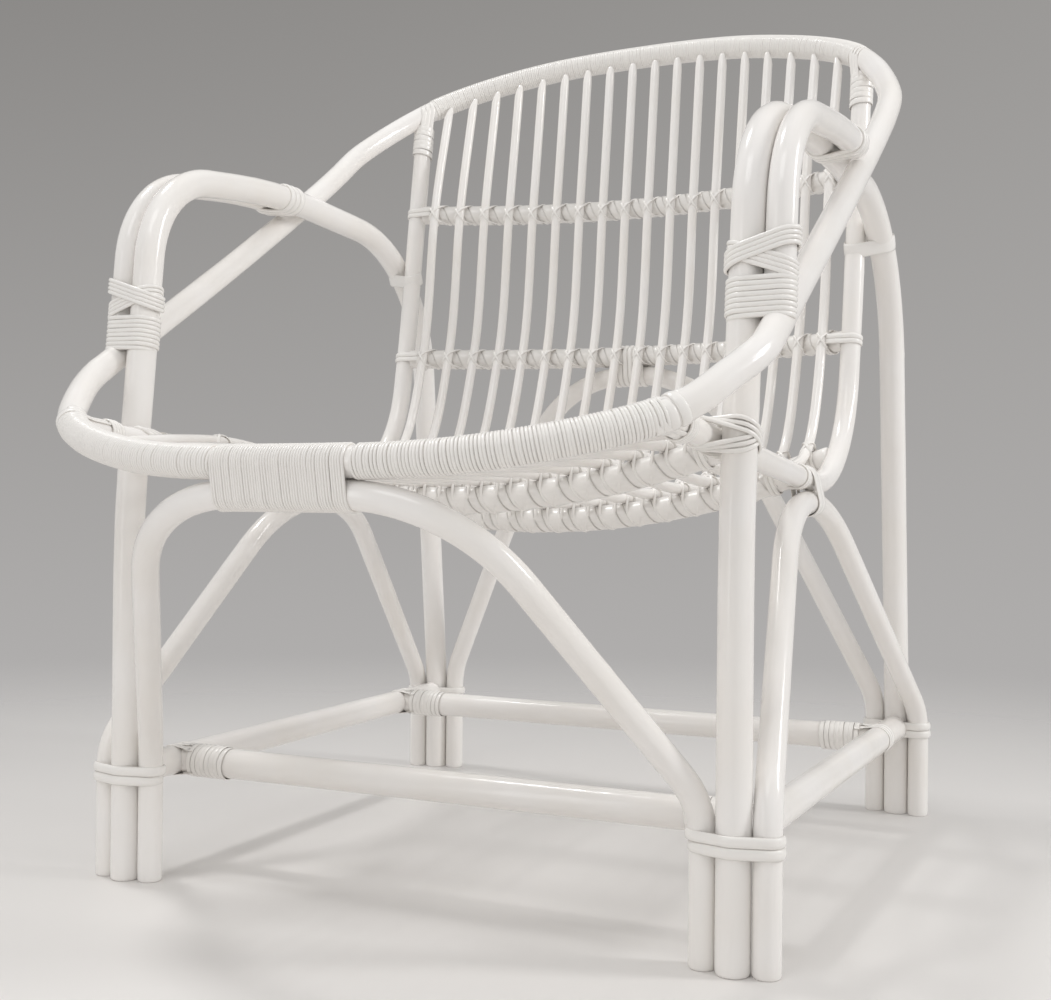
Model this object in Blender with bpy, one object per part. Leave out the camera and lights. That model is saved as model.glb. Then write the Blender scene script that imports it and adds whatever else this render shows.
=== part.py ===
"""White painted rattan armchair, in metres: X across, -Y to the front, Z up, floor at Z = 0."""

import math

import bmesh
import bpy
from mathutils import Matrix, Vector
from mathutils.geometry import intersect_line_line_2d, intersect_point_line

for thing in list(bpy.data.objects):
    bpy.data.objects.remove(thing)

# Cane diameters
FRAME_D = 0.0245
HOOP_D = 0.0215
ARM_D = 0.0215
RAIL_D = 0.019
BRACE_D = 0.020
STRETCHER_D = 0.025
BAR_D = 0.020
SLAT_D = 0.0096
FOOT_STRAND_D = 0.0073
ARM_STRAND_D = 0.0043
HOOP_STRAND_D = 0.0058
WRAP_T = 0.0011
BAND_T = 0.0018
FIT = 0.0003

# Side frames: distance apart, and the pole's bends as depth, height and bend radius
FRONT_HALF_SPAN = 0.2595
REAR_HALF_SPAN = 0.2695
FRONT_FOOT_Y = -0.2580
REAR_FOOT_Y = 0.2930
SHIN_Z = 0.300
SHIN_R = 1.0
ARM_FRONT_Y = -0.2288
ARM_FRONT_Z = 0.5875
ARM_FRONT_R = 0.090
ARM_CROWN_SHARE = 0.37
ARM_CROWN_RISE = 0.0197
ARM_CROWN_R = 0.7
ARM_REAR_Y = 0.2382
ARM_REAR_Z = 0.599
ARM_REAR_R = 0.159
REAR_KNEE_Z = 0.100
REAR_KNEE_R = 0.100

# Hoop: its front and back middles, and the places between as shares of width, depth and height
RIM_Y = -0.4065
RIM_Z = 0.3384
TOP_Y = 0.2684
TOP_Z = 0.8056
RIM_SHAPE = ((0.534, 0.019, 0.013), (0.943, 0.097, 0.071), (1.040, 0.149, 0.125))
SIDE_SHAPE = ((0.199, 0.171), (0.269, 0.236), (0.513, 0.464), (0.736, 0.684))
TOP_SHAPE = ((1.066, 0.810, 0.770), (0.865, 0.934, 0.912), (0.481, 0.980, 0.978))

# Uprights with seat rails
BACK_BEND_Y = 0.1747
BACK_BEND_Z = 0.500
BACK_BEND_R = 0.53
SEAT_CORNER_Y = 0.1414
SEAT_CORNER_Z = 0.3232
SEAT_CORNER_R = 0.127

# Bars across, with how far each bows at its middle
FRONT_BAR_Y = -0.200
REAR_BAR_Y = -0.020
LOWER_BAR_Z = 0.472
UPPER_BAR_SHARE = 0.335
SEAT_DISH = 0.040
CORNER_BOW = 0.050
BACK_BOW = 0.060
SLAT_COUNT = 18
SLAT_SPREAD = 0.93

# Arches: bearing of their feet beside the leg posts, bends and crowns
FOOT_BEARING = math.radians(10)
FRONT_KNEE_Z = 0.110
FRONT_CROWN_X = 0.120
FRONT_CROWN_R = 0.120
CROWN_TILT = math.radians(8)
SIDE_FRONT_KNEE_Z = 0.112
SIDE_REAR_KNEE_Z = 0.104
SIDE_KNEE_R = 0.050
SIDE_CROWN_IN = 0.008
SIDE_CROWN_Y = -0.0034
SIDE_CROWN_R = 0.1446
BACK_KNEE_Z = 0.115
BACK_CROWN_X = 0.083
BACK_CROWN_R = 0.148
KNEE_R = 0.070

# Stretchers and windings
STRETCHER_Z = 0.088
FRONT_STRETCHER_Y = -0.189
BACK_STRETCHER_Y = 0.206
FOOT_BIND_Z = 0.0844
FOOT_TURNS = 2
ARM_TURNS = 5
HOOP_TURNS = 2
CENTRE_BIND_L = 0.106
COLLAR_L = 0.034
BAND_H = 0.014
BAND_DROP = 0.012
STRETCHER_WRAP_L = 0.045

# Mesh fineness
SIDES = 12
SLAT_SIDES = 6
ARC_STEP = math.radians(14)
LOOP_POINTS = 24

X_AXIS = Vector((1, 0, 0))
Y_AXIS = Vector((0, 1, 0))
Z_AXIS = Vector((0, 0, 1))

# Sideways distances between poles that touch
HOOP_OFFSET = (FRAME_D + HOOP_D) / 2 + FIT
ARM_OFFSET = (FRAME_D + ARM_D) / 2 + FIT
RAIL_OFFSET = (FRAME_D + RAIL_D) / 2 + FIT
BRACE_OFFSET = (FRAME_D + BRACE_D) / 2 + FIT
WRAP_D = HOOP_D + 2 * FIT + 2 * WRAP_T


# Paint: one glossy white for the poles, a slightly warmer one for the windings
def paint(name, colour):
    material = bpy.data.materials.new(name)
    material.use_nodes = True
    shader = material.node_tree.nodes["Principled BSDF"]
    shader.inputs["Base Color"].default_value = (*colour, 1)
    shader.inputs["Roughness"].default_value = 0.25
    return material


POLE_PAINT = paint("pole_paint", (0.80, 0.79, 0.76))
SLAT_PAINT = paint("slat_paint", (0.78, 0.77, 0.74))
WINDING_PAINT = paint("winding_paint", (0.76, 0.74, 0.70))


# Paths
def half_span(y):
    """Half the distance between the side frames' planes at this depth."""
    share = (y - FRONT_FOOT_Y) / (REAR_FOOT_Y - FRONT_FOOT_Y)
    return FRONT_HALF_SPAN + (REAR_HALF_SPAN - FRONT_HALF_SPAN) * share


def beside(y, z, offset=0.0):
    """Point of the right side frame's plane, moved outward by the offset."""
    return Vector((half_span(y) + offset, y, z))


def slat_room(y):
    """Half the room for slats between the side rails at this depth."""
    return half_span(y) - RAIL_OFFSET - RAIL_D / 2


def rounded(corners, radii):
    """Path through the corners, each inner one bent to its radius."""
    path = [corners[0]]
    for before, corner, after, radius in zip(corners, corners[1:], corners[2:], radii):
        back = (before - corner).normalized()
        onward = (after - corner).normalized()
        turn = math.pi - back.angle(onward)
        centre = corner + (back + onward).normalized() * (radius / math.cos(turn / 2))
        arm = corner + back * (radius * math.tan(turn / 2)) - centre
        axis = back.cross(arm)
        steps = max(1, math.ceil(turn / ARC_STEP))
        for k in range(steps + 1):
            path.append(centre + Matrix.Rotation(turn * k / steps, 3, axis) @ arm)
    path.append(corners[-1])
    return path


def smooth(points, steps, closed=False):
    """Centripetal Catmull-Rom curve through the points."""
    if closed:
        knots = [points[-1], *points, points[0], points[1]]
    else:
        knots = [2 * points[0] - points[1], *points, 2 * points[-1] - points[-2]]
    path = []
    for a, b, c, d in zip(knots, knots[1:], knots[2:], knots[3:]):
        t1 = math.sqrt((b - a).length)
        t2 = t1 + math.sqrt((c - b).length)
        t3 = t2 + math.sqrt((d - c).length)
        for k in range(steps):
            t = t1 + (t2 - t1) * k / steps
            ab = a.lerp(b, t / t1)
            bc = b.lerp(c, (t - t1) / (t2 - t1))
            cd = c.lerp(d, (t - t2) / (t3 - t2))
            path.append(ab.lerp(bc, t / t2).lerp(bc.lerp(cd, (t - t1) / (t3 - t1)), (t - t1) / (t2 - t1)))
    if not closed:
        path.append(points[-1])
    return path


def thinned(path):
    """The path less the points that lie on a straight line between the ones kept."""
    kept, skipped = [path[0]], []
    for here, after in zip(path[1:], path[2:]):
        skipped.append(here)
        if any((intersect_point_line(p, kept[-1], after)[0] - p).length > FIT for p in skipped):
            kept.append(here)
            skipped = []
    return [*kept, path[-1]]


def mirrored(path):
    return [Vector((-p.x, p.y, p.z)) for p in path]


def crossing(path, measure):
    """Points of the path where the measure changes sign."""
    found = []
    for a, b in zip(path, path[1:]):
        low, high = measure(a), measure(b)
        if low * high <= 0 and low != high:
            found.append(a.lerp(b, low / (low - high)))
    return found


def between(path, start, stop):
    """Part of the path from one of its points to another."""
    def place(point):
        for i, (a, b) in enumerate(zip(path, path[1:])):
            near, share = intersect_point_line(point, a, b)
            if -1e-6 <= share <= 1 + 1e-6 and (near - point).length < 1e-6:
                return i
        raise ValueError("the point is not on the path")
    inner = path[place(start) + 1:place(stop) + 1]
    kept = [p for p in inner if (p - start).length > 1e-4 and (p - stop).length > 1e-4]
    return [start, *kept, stop]


def at_length(path, distance):
    """Point this far along the path."""
    for a, b in zip(path, path[1:]):
        step = (b - a).length
        if distance <= step:
            return a.lerp(b, distance / step)
        distance -= step
    return path[-1]


def length(path):
    return sum((b - a).length for a, b in zip(path, path[1:]))


def trimmed(path, start, stop):
    """The path less these lengths at its two ends."""
    return between(path, at_length(path, start), at_length(path, length(path) - stop))


def meeting(first, second):
    """Points of the first path where the two cross, seen from the side."""
    found = []
    for a, b in zip(first, first[1:]):
        for c, d in zip(second, second[1:]):
            hit = intersect_line_line_2d(a.yz, b.yz, c.yz, d.yz)
            if hit:
                found.append(a.lerp(b, (hit - a.yz).length / (b - a).yz.length))
    return found


def nearest(point, path):
    """Closest point of the path, with the direction of the path there."""
    best = None
    for a, b in zip(path, path[1:]):
        near, share = intersect_point_line(point, a, b)
        near = a.lerp(b, min(1, max(0, share)))
        if best is None or (near - point).length < (best[0] - point).length:
            best = (near, (b - a).normalized())
    return best


def gap(first, second):
    """Least distance between two paths."""
    count = math.ceil(length(first) / 0.004)
    samples = [at_length(first, length(first) * k / count) for k in range(count + 1)]
    return min((nearest(p, second)[0] - p).length for p in samples)


def settle(make, clear, touching, *others):
    """Value nearest to touching at which the made path still keeps its distance from the others."""
    for _ in range(16):
        middle = (clear + touching) / 2
        if all(gap(make(middle), other) > distance for other, distance in others):
            clear = middle
        else:
            touching = middle
    return clear


# Solids
def tangent(path, i, closed):
    last = len(path) - 1
    before = path[i - 1] if i > 0 or closed else path[i]
    after = path[(i + 1) % len(path)] if i < last or closed else path[i]
    back = (path[i] - before).normalized()
    onward = (after - path[i]).normalized()
    return (back + onward).normalized()


def ring(path, i, diameter, normal, sides=SIDES, closed=False):
    """Points of the section at one place of a path, the first towards the normal."""
    along = tangent(path, i, closed)
    up = (normal - along * normal.dot(along)).normalized()
    side = along.cross(up)
    turns = [2 * math.pi * k / sides for k in range(sides)]
    return [path[i] + (up * math.cos(a) + side * math.sin(a)) * diameter / 2 for a in turns]


def rings(path, diameter, normal, sides=SIDES, closed=False):
    return [ring(path, i, diameter, normal, sides, closed) for i in range(len(path))]


def join(mesh, first, second):
    for k in range(len(first)):
        mesh.faces.new((first[k - 1], first[k], second[k], second[k - 1]))


def finish(name, mesh, material):
    bmesh.ops.recalc_face_normals(mesh, faces=mesh.faces)
    data = bpy.data.meshes.new(name)
    mesh.to_mesh(data)
    mesh.free()
    data.materials.append(material)
    solid = bpy.data.objects.new(name, data)
    bpy.context.collection.objects.link(solid)
    return solid


def loft(name, sections, material, closed=False):
    """Solid through a row of sections."""
    mesh = bmesh.new()
    loops = [[mesh.verts.new(p) for p in section] for section in sections]
    for first, second in zip(loops, loops[1:]):
        join(mesh, first, second)
    if closed:
        join(mesh, loops[-1], loops[0])
    else:
        mesh.faces.new(loops[0])
        mesh.faces.new(loops[-1])
    return finish(name, mesh, material)


def pole(name, path, diameter, normal, material=POLE_PAINT, sides=SIDES, closed=False):
    """Solid round pole along the path, one corner of its section towards the normal."""
    return loft(name, rings(path, diameter, normal, sides, closed), material, closed)


def casing(name, inner, outer):
    """Open-ended sleeve between two rows of sections."""
    mesh = bmesh.new()
    bores = [[mesh.verts.new(p) for p in section] for section in inner]
    skins = [[mesh.verts.new(p) for p in section] for section in outer]
    for loops in (bores, skins):
        for first, second in zip(loops, loops[1:]):
            join(mesh, first, second)
    join(mesh, bores[0], skins[0])
    join(mesh, bores[-1], skins[-1])
    return finish(name, mesh, WINDING_PAINT)


def sleeve(name, path, diameter, normal):
    """Close fine winding along a pole of this diameter, as a sleeve."""
    bore = diameter + 2 * FIT
    return casing(name, rings(path, bore, normal), rings(path, bore + 2 * WRAP_T, normal))


def girdle(poles, centre, normal, angle, offset):
    """Point at this angle of a taut loop round the poles in a plane, and which pole it is on."""
    across = (X_AXIS - normal * normal.x).normalized() if abs(normal.x) < 0.9 else Y_AXIS
    towards = across * math.cos(angle) + normal.cross(across) * math.sin(angle)
    found = []
    for path, diameter in poles:
        hits = crossing(path, lambda p: (p - centre).dot(normal))
        middle = min(hits, key=lambda p: (p - centre).length)
        along = nearest(middle, path)[1]
        slant = along - normal * along.dot(normal)
        major = slant.normalized() if slant.length > 1e-6 else across
        minor = normal.cross(major)
        a = diameter / 2 / abs(along.dot(normal)) + offset
        b = diameter / 2 + offset
        u, v = towards.dot(major), towards.dot(minor)
        point = middle + (major * (a * a * u) + minor * (b * b * v)) / math.hypot(a * u, b * v)
        found.append(((point - centre).dot(towards), len(found), point))
    reach, owner, point = max(found)
    return point, owner


def loop_angles(poles, centre, normal, offset):
    """Angles of one loop's points, with both ends of each pole's share of the loop among them."""
    fine = 240
    owners = [girdle(poles, centre, normal, 2 * math.pi * k / fine, offset)[1] for k in range(fine)]
    starts = [k for k in range(fine) if owners[k] != owners[k - 1]]
    runs = [(a, b - 1) for a, b in zip(starts, starts[1:] + [starts[0] + fine])]
    shares = [2] * len(runs)
    for _ in range(LOOP_POINTS - 2 * len(runs)):
        widest = max(range(len(runs)), key=lambda i: (runs[i][1] - runs[i][0]) / (shares[i] - 1))
        shares[widest] += 1
    return [
        2 * math.pi / fine * (a + (b - a) * k / (n - 1))
        for (a, b), n in zip(runs, shares)
        for k in range(n)
    ]


def girdles(poles, stations, offset):
    """Loops round the poles in a row of planes."""
    turns = loop_angles(poles, *stations[0], offset)
    return [[girdle(poles, *station, a, offset)[0] for a in turns] for station in stations]


def pitch(diameter):
    return 1.1 * diameter + FIT


def wound(poles, centre, normal, turns, diameter, start):
    """Path of one strand wound round several poles, its ends straight for one diameter."""
    offset = diameter / 2 + 2 * FIT
    angles = loop_angles(poles, centre, normal, offset)
    begin = min(range(LOOP_POINTS), key=lambda k: math.cos(start - angles[k]) * -1)
    points = []
    for k in range(LOOP_POINTS * turns + 1):
        here = centre + normal * (pitch(diameter) * k / LOOP_POINTS)
        points.append(girdle(poles, here, normal, angles[(begin + k) % LOOP_POINTS], offset)[0])
    first = points[0] + (points[0] - points[1]).normalized() * diameter
    last = points[-1] + (points[-1] - points[-2]).normalized() * diameter
    return [first, *points, last]


def strand(name, points, diameter):
    """Round strand along the points."""
    far = LOOP_POINTS // 2
    least = min((p - q).length for i, p in enumerate(points) for q in points[i + far:])
    print(f"{name}: least gap between loops {1000 * (least - diameter):.2f} mm")
    curve = bpy.data.curves.new(name, "CURVE")
    curve.dimensions = "3D"
    curve.bevel_depth = diameter / 2
    curve.bevel_resolution = 1
    curve.use_fill_caps = True
    spline = curve.splines.new("POLY")
    spline.points.add(len(points) - 1)
    for target, point in zip(spline.points, points):
        target.co = (*point, 1)
    curve.materials.append(WINDING_PAINT)
    bpy.context.collection.objects.link(bpy.data.objects.new(name, curve))


def strands(name, points, diameter):
    """Right strand and its mirrored left one."""
    strand(name + "_right", points, diameter)
    strand(name + "_left", mirrored(points), diameter)


def cutter(solid):
    solid.hide_render = True
    solid.display_type = "WIRE"
    return solid


def saddle(piece, mate):
    """Hollows the end of a piece to sit on its mate."""
    cut = piece.modifiers.new(mate.name, "BOOLEAN")
    cut.operation = "DIFFERENCE"
    cut.solver = "EXACT"
    cut.object = mate


def pair(name, path, diameter, normal):
    """Right pole and its mirrored left one."""
    flipped = Vector((-normal.x, normal.y, normal.z))
    right = pole(name + "_right", path, diameter, normal)
    left = pole(name + "_left", mirrored(path), diameter, flipped)
    return right, left


# Side frames
arm_front = beside(ARM_FRONT_Y, ARM_FRONT_Z)
arm_rear = beside(ARM_REAR_Y, ARM_REAR_Z)
frame = rounded([
    beside(FRONT_FOOT_Y, 0),
    beside(FRONT_FOOT_Y, SHIN_Z),
    arm_front,
    arm_front.lerp(arm_rear, ARM_CROWN_SHARE) + Z_AXIS * ARM_CROWN_RISE,
    arm_rear,
    beside(REAR_FOOT_Y, REAR_KNEE_Z),
    beside(REAR_FOOT_Y, 0),
], [SHIN_R, ARM_FRONT_R, ARM_CROWN_R, ARM_REAR_R, REAR_KNEE_R])
pair("side_frame", frame, FRAME_D, X_AXIS)

# Hoop that is the seat's front rim, the slanting sides and the top rail in one
def hoop_place(depth, height):
    return RIM_Y + (TOP_Y - RIM_Y) * depth, RIM_Z + (TOP_Z - RIM_Z) * height


def hoop_corner(width, depth, height):
    y, z = hoop_place(depth, height)
    return Vector((half_span(y) * width, y, z))


knots = [
    Vector((0, RIM_Y, RIM_Z)),
    *[hoop_corner(*shares) for shares in RIM_SHAPE],
    *[beside(*hoop_place(*shares), HOOP_OFFSET) for shares in SIDE_SHAPE],
    *[hoop_corner(*shares) for shares in TOP_SHAPE],
    Vector((0, TOP_Y, TOP_Z)),
]
hoop = smooth(knots + mirrored(knots[1:-1])[::-1], 2, closed=True)
for p in hoop:
    limit = half_span(p.y) + HOOP_OFFSET
    p.x = max(-limit, min(limit, p.x))
half_hoop = hoop[:len(hoop) // 2 + 1]
HOOP_NORMAL = Vector((0, RIM_Z - TOP_Z, TOP_Y - RIM_Y)).normalized()
pole("rim_hoop", hoop, HOOP_D, HOOP_NORMAL, closed=True)
hoop_cutter = cutter(pole("hoop_cutter", hoop, HOOP_D + 2 * FIT, HOOP_NORMAL, closed=True))

def clear_of(radius, first, second):
    """Distance from a crossing at which a square end of this radius along the first way clears the hoop along the second."""
    return (HOOP_D / 2 + 2 * FIT + radius * abs(first.dot(second))) / first.cross(second).length


# Outer arm poles, beside the side frames: hollowed onto the hoop in front, cut square where they run into it behind
low_cross, high_cross = meeting(frame, half_hoop)
arm_way = nearest(high_cross, frame)[1]
arm_stop = clear_of(ARM_D / 2, arm_way, nearest(high_cross, half_hoop)[1])
sideways = X_AXIS * ARM_OFFSET
outer_arm = [p + sideways for p in between(frame, low_cross, high_cross)]
for arm in pair("outer_arm", trimmed(outer_arm, 0.3 * HOOP_D, arm_stop), ARM_D, X_AXIS):
    saddle(arm, hoop_cutter)

# Uprights with seat rails, inside the side frames, both ends on the hoop
rim_end, top_end = crossing(half_hoop, lambda p: p.x - half_span(p.y) + RAIL_OFFSET)
back_bend = beside(BACK_BEND_Y, BACK_BEND_Z, -RAIL_OFFSET)
corner = beside(SEAT_CORNER_Y, SEAT_CORNER_Z, -RAIL_OFFSET)
rail = rounded([top_end, back_bend, corner, rim_end], [BACK_BEND_R, SEAT_CORNER_R])
band_at = max(meeting(rail, frame), key=lambda p: p.z)
rail_solids = pair("side_rail", trimmed(rail, 0.3 * HOOP_D, 0.3 * HOOP_D), RAIL_D, X_AXIS)
rail_cutters = [cutter(solid) for solid in pair("rail_cutter", rail, RAIL_D + 2 * FIT, X_AXIS)]

# Fine windings on the rim and on the top rail
wrap_stop = rim_end.x + RAIL_D / 2 + 0.004
wrap_start = CENTRE_BIND_L / 2 + 0.003
top_stop = top_end.x - RAIL_D / 2 - 4 * FIT
rim_wrap = between(
    half_hoop,
    crossing(half_hoop, lambda p: p.x - wrap_start)[0],
    crossing(half_hoop, lambda p: p.x - wrap_stop)[0],
)
sleeve("rim_winding_right", rim_wrap, HOOP_D, HOOP_NORMAL)
sleeve("rim_winding_left", mirrored(rim_wrap), HOOP_D, HOOP_NORMAL)
top_half = between(half_hoop, crossing(half_hoop, lambda p: p.x - top_stop)[-1], half_hoop[-1])
top_wrap = top_half + mirrored(top_half[:-1])[::-1]
sleeve("top_rail_winding", top_wrap, HOOP_D, HOOP_NORMAL)

rim_half = between(half_hoop, half_hoop[0], crossing(half_hoop, lambda p: p.x - wrap_stop - FIT)[0])
rim_run = mirrored(rim_half[1:])[::-1] + rim_half
rim_cutter = cutter(pole("rim_cutter", rim_run, WRAP_D + 2 * FIT, HOOP_NORMAL))
top_cutter = cutter(pole("top_cutter", top_wrap, WRAP_D + 2 * FIT, HOOP_NORMAL))
for solid in rail_solids:
    saddle(solid, hoop_cutter)
    saddle(solid, rim_cutter)

# Bars across between the rails, dished down or bowed back
corner_out = (corner - rim_end).normalized() - (back_bend - corner).normalized()
corner_out = Vector((0, corner_out.y, corner_out.z)).normalized()
corner_way = (corner - back_bend).normalized() + (rim_end - corner).normalized()
corner_at = crossing(rail, lambda p: (p - corner).dot(corner_way))[0]
upper_z = band_at.z + (top_end.z - band_at.z) * UPPER_BAR_SHARE
bars = {
    "front_seat_bar": (crossing(rail, lambda p: p.y - FRONT_BAR_Y)[-1], -Z_AXIS * SEAT_DISH),
    "rear_seat_bar": (crossing(rail, lambda p: p.y - REAR_BAR_Y)[-1], -Z_AXIS * SEAT_DISH),
    "seat_back_bar": (corner_at, corner_out * CORNER_BOW),
    "lower_back_bar": (crossing(rail, lambda p: p.z - LOWER_BAR_Z)[0], Y_AXIS * BACK_BOW),
    "upper_back_bar": (crossing(rail, lambda p: p.z - upper_z)[0], Y_AXIS * BACK_BOW),
}
bar_paths = {}
for name, (end, bow) in bars.items():
    shares = [k / 4 - 1 for k in range(9)]
    reach = end.x - 0.3 * RAIL_D
    path = [Vector((reach * s, end.y, end.z)) + bow * (1 - s * s) for s in shares]
    bar_paths[name] = path
    solid = pole(name, path, BAR_D, Z_AXIS)
    for mate in rail_cutters:
        saddle(solid, mate)


# Arches, their feet beside the leg posts and their crowns on what they carry
def foot(y, z, side, bearing):
    """Point of an arch's foot at this height, on one side of the right leg post."""
    return beside(y, z) + Vector((side * math.cos(bearing), math.sin(bearing), 0)) * BRACE_OFFSET


def arch(half, knee, crown):
    """Arch across the chair from the corners of its right half and its two bend radii."""
    turn = (half[-1] - half[-2]).angle(-X_AXIS)
    crown = min(crown, 0.95 * half[-1].x / math.tan(turn / 2))
    return rounded(half + mirrored(half)[::-1], [knee, crown, crown, knee])


def front_arch_at(drop):
    y = RIM_Y + drop * math.sin(CROWN_TILT)
    z = RIM_Z - drop * math.cos(CROWN_TILT)
    feet = [foot(FRONT_FOOT_Y, h, -1, FOOT_BEARING) for h in (0, FRONT_KNEE_Z)]
    return arch([*feet, Vector((FRONT_CROWN_X, y, z))], KNEE_R, FRONT_CROWN_R)


back_bar = bar_paths["lower_back_bar"]


def back_arch_at(drop):
    under = back_bar[len(back_bar) // 2] - Z_AXIS * drop
    feet = [foot(REAR_FOOT_Y, h, -1, FOOT_BEARING) for h in (0, BACK_KNEE_Z)]
    return arch([*feet, Vector((BACK_CROWN_X, under.y, under.z))], KNEE_R, BACK_CROWN_R)


def side_arch_at(height):
    return rounded([
        foot(FRONT_FOOT_Y, 0, 1, FOOT_BEARING),
        foot(FRONT_FOOT_Y, SIDE_FRONT_KNEE_Z, 1, FOOT_BEARING),
        beside(SIDE_CROWN_Y, height, -RAIL_OFFSET - SIDE_CROWN_IN),
        foot(REAR_FOOT_Y, SIDE_REAR_KNEE_Z, 1, -FOOT_BEARING),
        foot(REAR_FOOT_Y, 0, 1, -FOOT_BEARING),
    ], [SIDE_KNEE_R, SIDE_CROWN_R, SIDE_KNEE_R])


HOOP_TOUCH = (HOOP_D + BRACE_D) / 2 + FIT
BAR_TOUCH = (BAR_D + BRACE_D) / 2 + FIT
RAIL_TOUCH = (RAIL_D + BRACE_D) / 2 + FIT
rim_line = [p for p in rim_run if abs(p.x) < FRONT_CROWN_X]
front_arch = front_arch_at(settle(front_arch_at, 2 * HOOP_TOUCH, 0, (rim_line, HOOP_TOUCH)))
back_arch = back_arch_at(settle(back_arch_at, 2 * BAR_TOUCH, 0, (back_bar, BAR_TOUCH)))
above = ((rail, RAIL_TOUCH), (bar_paths["rear_seat_bar"], BAR_TOUCH))
side_arch = side_arch_at(settle(side_arch_at, SIDE_FRONT_KNEE_Z + 2 * BRACE_D, ARM_REAR_Z, *above))
pole("front_arch", front_arch, BRACE_D, Y_AXIS)
pole("back_arch", back_arch, BRACE_D, Y_AXIS)
pair("side_arch", side_arch, BRACE_D, X_AXIS)

# Binding of the rim to the front arch
half_bind = CENTRE_BIND_L / 2
bind_poles = [(rim_run, HOOP_D), (front_arch, BRACE_D)]
stations = [(Vector((half_bind * (k - 1), RIM_Y, RIM_Z)), X_AXIS) for k in range(3)]
slack = 2 * FIT
bore = girdles(bind_poles, stations, slack)
casing("rim_centre_binding", bore, girdles(bind_poles, stations, slack + BAND_T))
bind_cutter = cutter(loft("bind_cutter", girdles(bind_poles, stations, slack + BAND_T + FIT), WINDING_PAINT))

# Slats, laid over the seat bars and up in front of the back bars
BAR_REST = (BAR_D + SLAT_D) / 2 + FIT


def slat_path(share):
    """Path of the slat at this share of the room between the rails."""
    def on_slat(y, z):
        return Vector((share * slat_room(y), y, z))

    def meets(path):
        return crossing(path, lambda p: p.x - share * slat_room(p.y))

    rim_at = meets(rim_run)[0]
    top_at = meets(top_wrap)[0]
    start = on_slat(rim_at.y, rim_at.z - SLAT_D / 2)
    stop = on_slat(top_at.y - SLAT_D / 2, top_at.z)
    rests = []
    for path in bar_paths.values():
        axis = meets(path)[0]
        rests.append((axis, BAR_REST / abs(nearest(axis, path)[1].x)))
    leans = [-bow.normalized() for _, bow in bars.values()]
    for _ in range(4):
        points = [axis + lean * rest for (axis, rest), lean in zip(rests, leans)]
        line = [start, *[on_slat(p.y, p.z) for p in points], stop]
        for i in range(len(leans)):
            along = (line[i + 2] - line[i + 1]).normalized() + (line[i + 1] - line[i]).normalized()
            leans[i] = X_AXIS.cross(along).normalized()
    return thinned(smooth(line, 3))


for i in range(SLAT_COUNT):
    path = slat_path(SLAT_SPREAD * (2 * i / (SLAT_COUNT - 1) - 1))
    solid = pole(f"slat_{i + 1:02d}", path, SLAT_D, Z_AXIS - Y_AXIS, SLAT_PAINT, SLAT_SIDES)
    saddle(solid, rim_cutter)
    saddle(solid, top_cutter)
    if abs(path[0].x) < half_bind + SLAT_D:
        saddle(solid, bind_cutter)

# Stretchers: one along each side between the foot bindings, two across between those
bind_reach = FOOT_STRAND_D + 3 * FIT
foot_reach = max(FRAME_D / 2, BRACE_OFFSET * math.sin(FOOT_BEARING) + BRACE_D / 2)
side_from = FRONT_FOOT_Y + foot_reach + bind_reach
side_to = REAR_FOOT_Y - foot_reach - bind_reach
side_path = [beside(side_from, STRETCHER_Z), beside(side_to, STRETCHER_Z)]
pair("side_stretcher", side_path, STRETCHER_D, X_AXIS)
side_cutters = [cutter(s) for s in pair("side_cutter", side_path, STRETCHER_D + 2 * FIT, X_AXIS)]
for name, y in (("front_stretcher", FRONT_STRETCHER_Y), ("back_stretcher", BACK_STRETCHER_Y)):
    end = half_span(y) - 0.3 * STRETCHER_D
    ends = [Vector((-end, y, STRETCHER_Z)), Vector((end, y, STRETCHER_Z))]
    solid = pole(name, ends, STRETCHER_D, Z_AXIS)
    for mate in side_cutters:
        saddle(solid, mate)
    outer = half_span(y) - STRETCHER_D / 2 - 0.004
    wrap = [Vector((outer - STRETCHER_WRAP_L, y, STRETCHER_Z)), Vector((outer, y, STRETCHER_Z))]
    sleeve(name + "_winding_right", wrap, STRETCHER_D, Z_AXIS)
    sleeve(name + "_winding_left", mirrored(wrap), STRETCHER_D, Z_AXIS)

# Collars of fine winding at the tops of the uprights
collar_r = RAIL_D / 2 + FIT + WRAP_T
collar_start = clear_of(collar_r, nearest(top_end, rail)[1], nearest(top_end, half_hoop)[1])
collar = between(rail, at_length(rail, collar_start), at_length(rail, collar_start + COLLAR_L))
sleeve("upright_collar_right", collar, RAIL_D, X_AXIS)
sleeve("upright_collar_left", mirrored(collar), RAIL_D, X_AXIS)

# Foot bindings round each leg post and its two arches
for name, y, arch_path in (("front", FRONT_FOOT_Y, front_arch), ("rear", REAR_FOOT_Y, back_arch)):
    poles = [(frame, FRAME_D), (arch_path, BRACE_D), (side_arch, BRACE_D)]
    centre = beside(y, FOOT_BIND_Z - FOOT_TURNS * pitch(FOOT_STRAND_D) / 2)
    points = wound(poles, centre, Z_AXIS, FOOT_TURNS, FOOT_STRAND_D, math.pi)
    strands(f"foot_binding_{name}", points, FOOT_STRAND_D)

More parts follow.
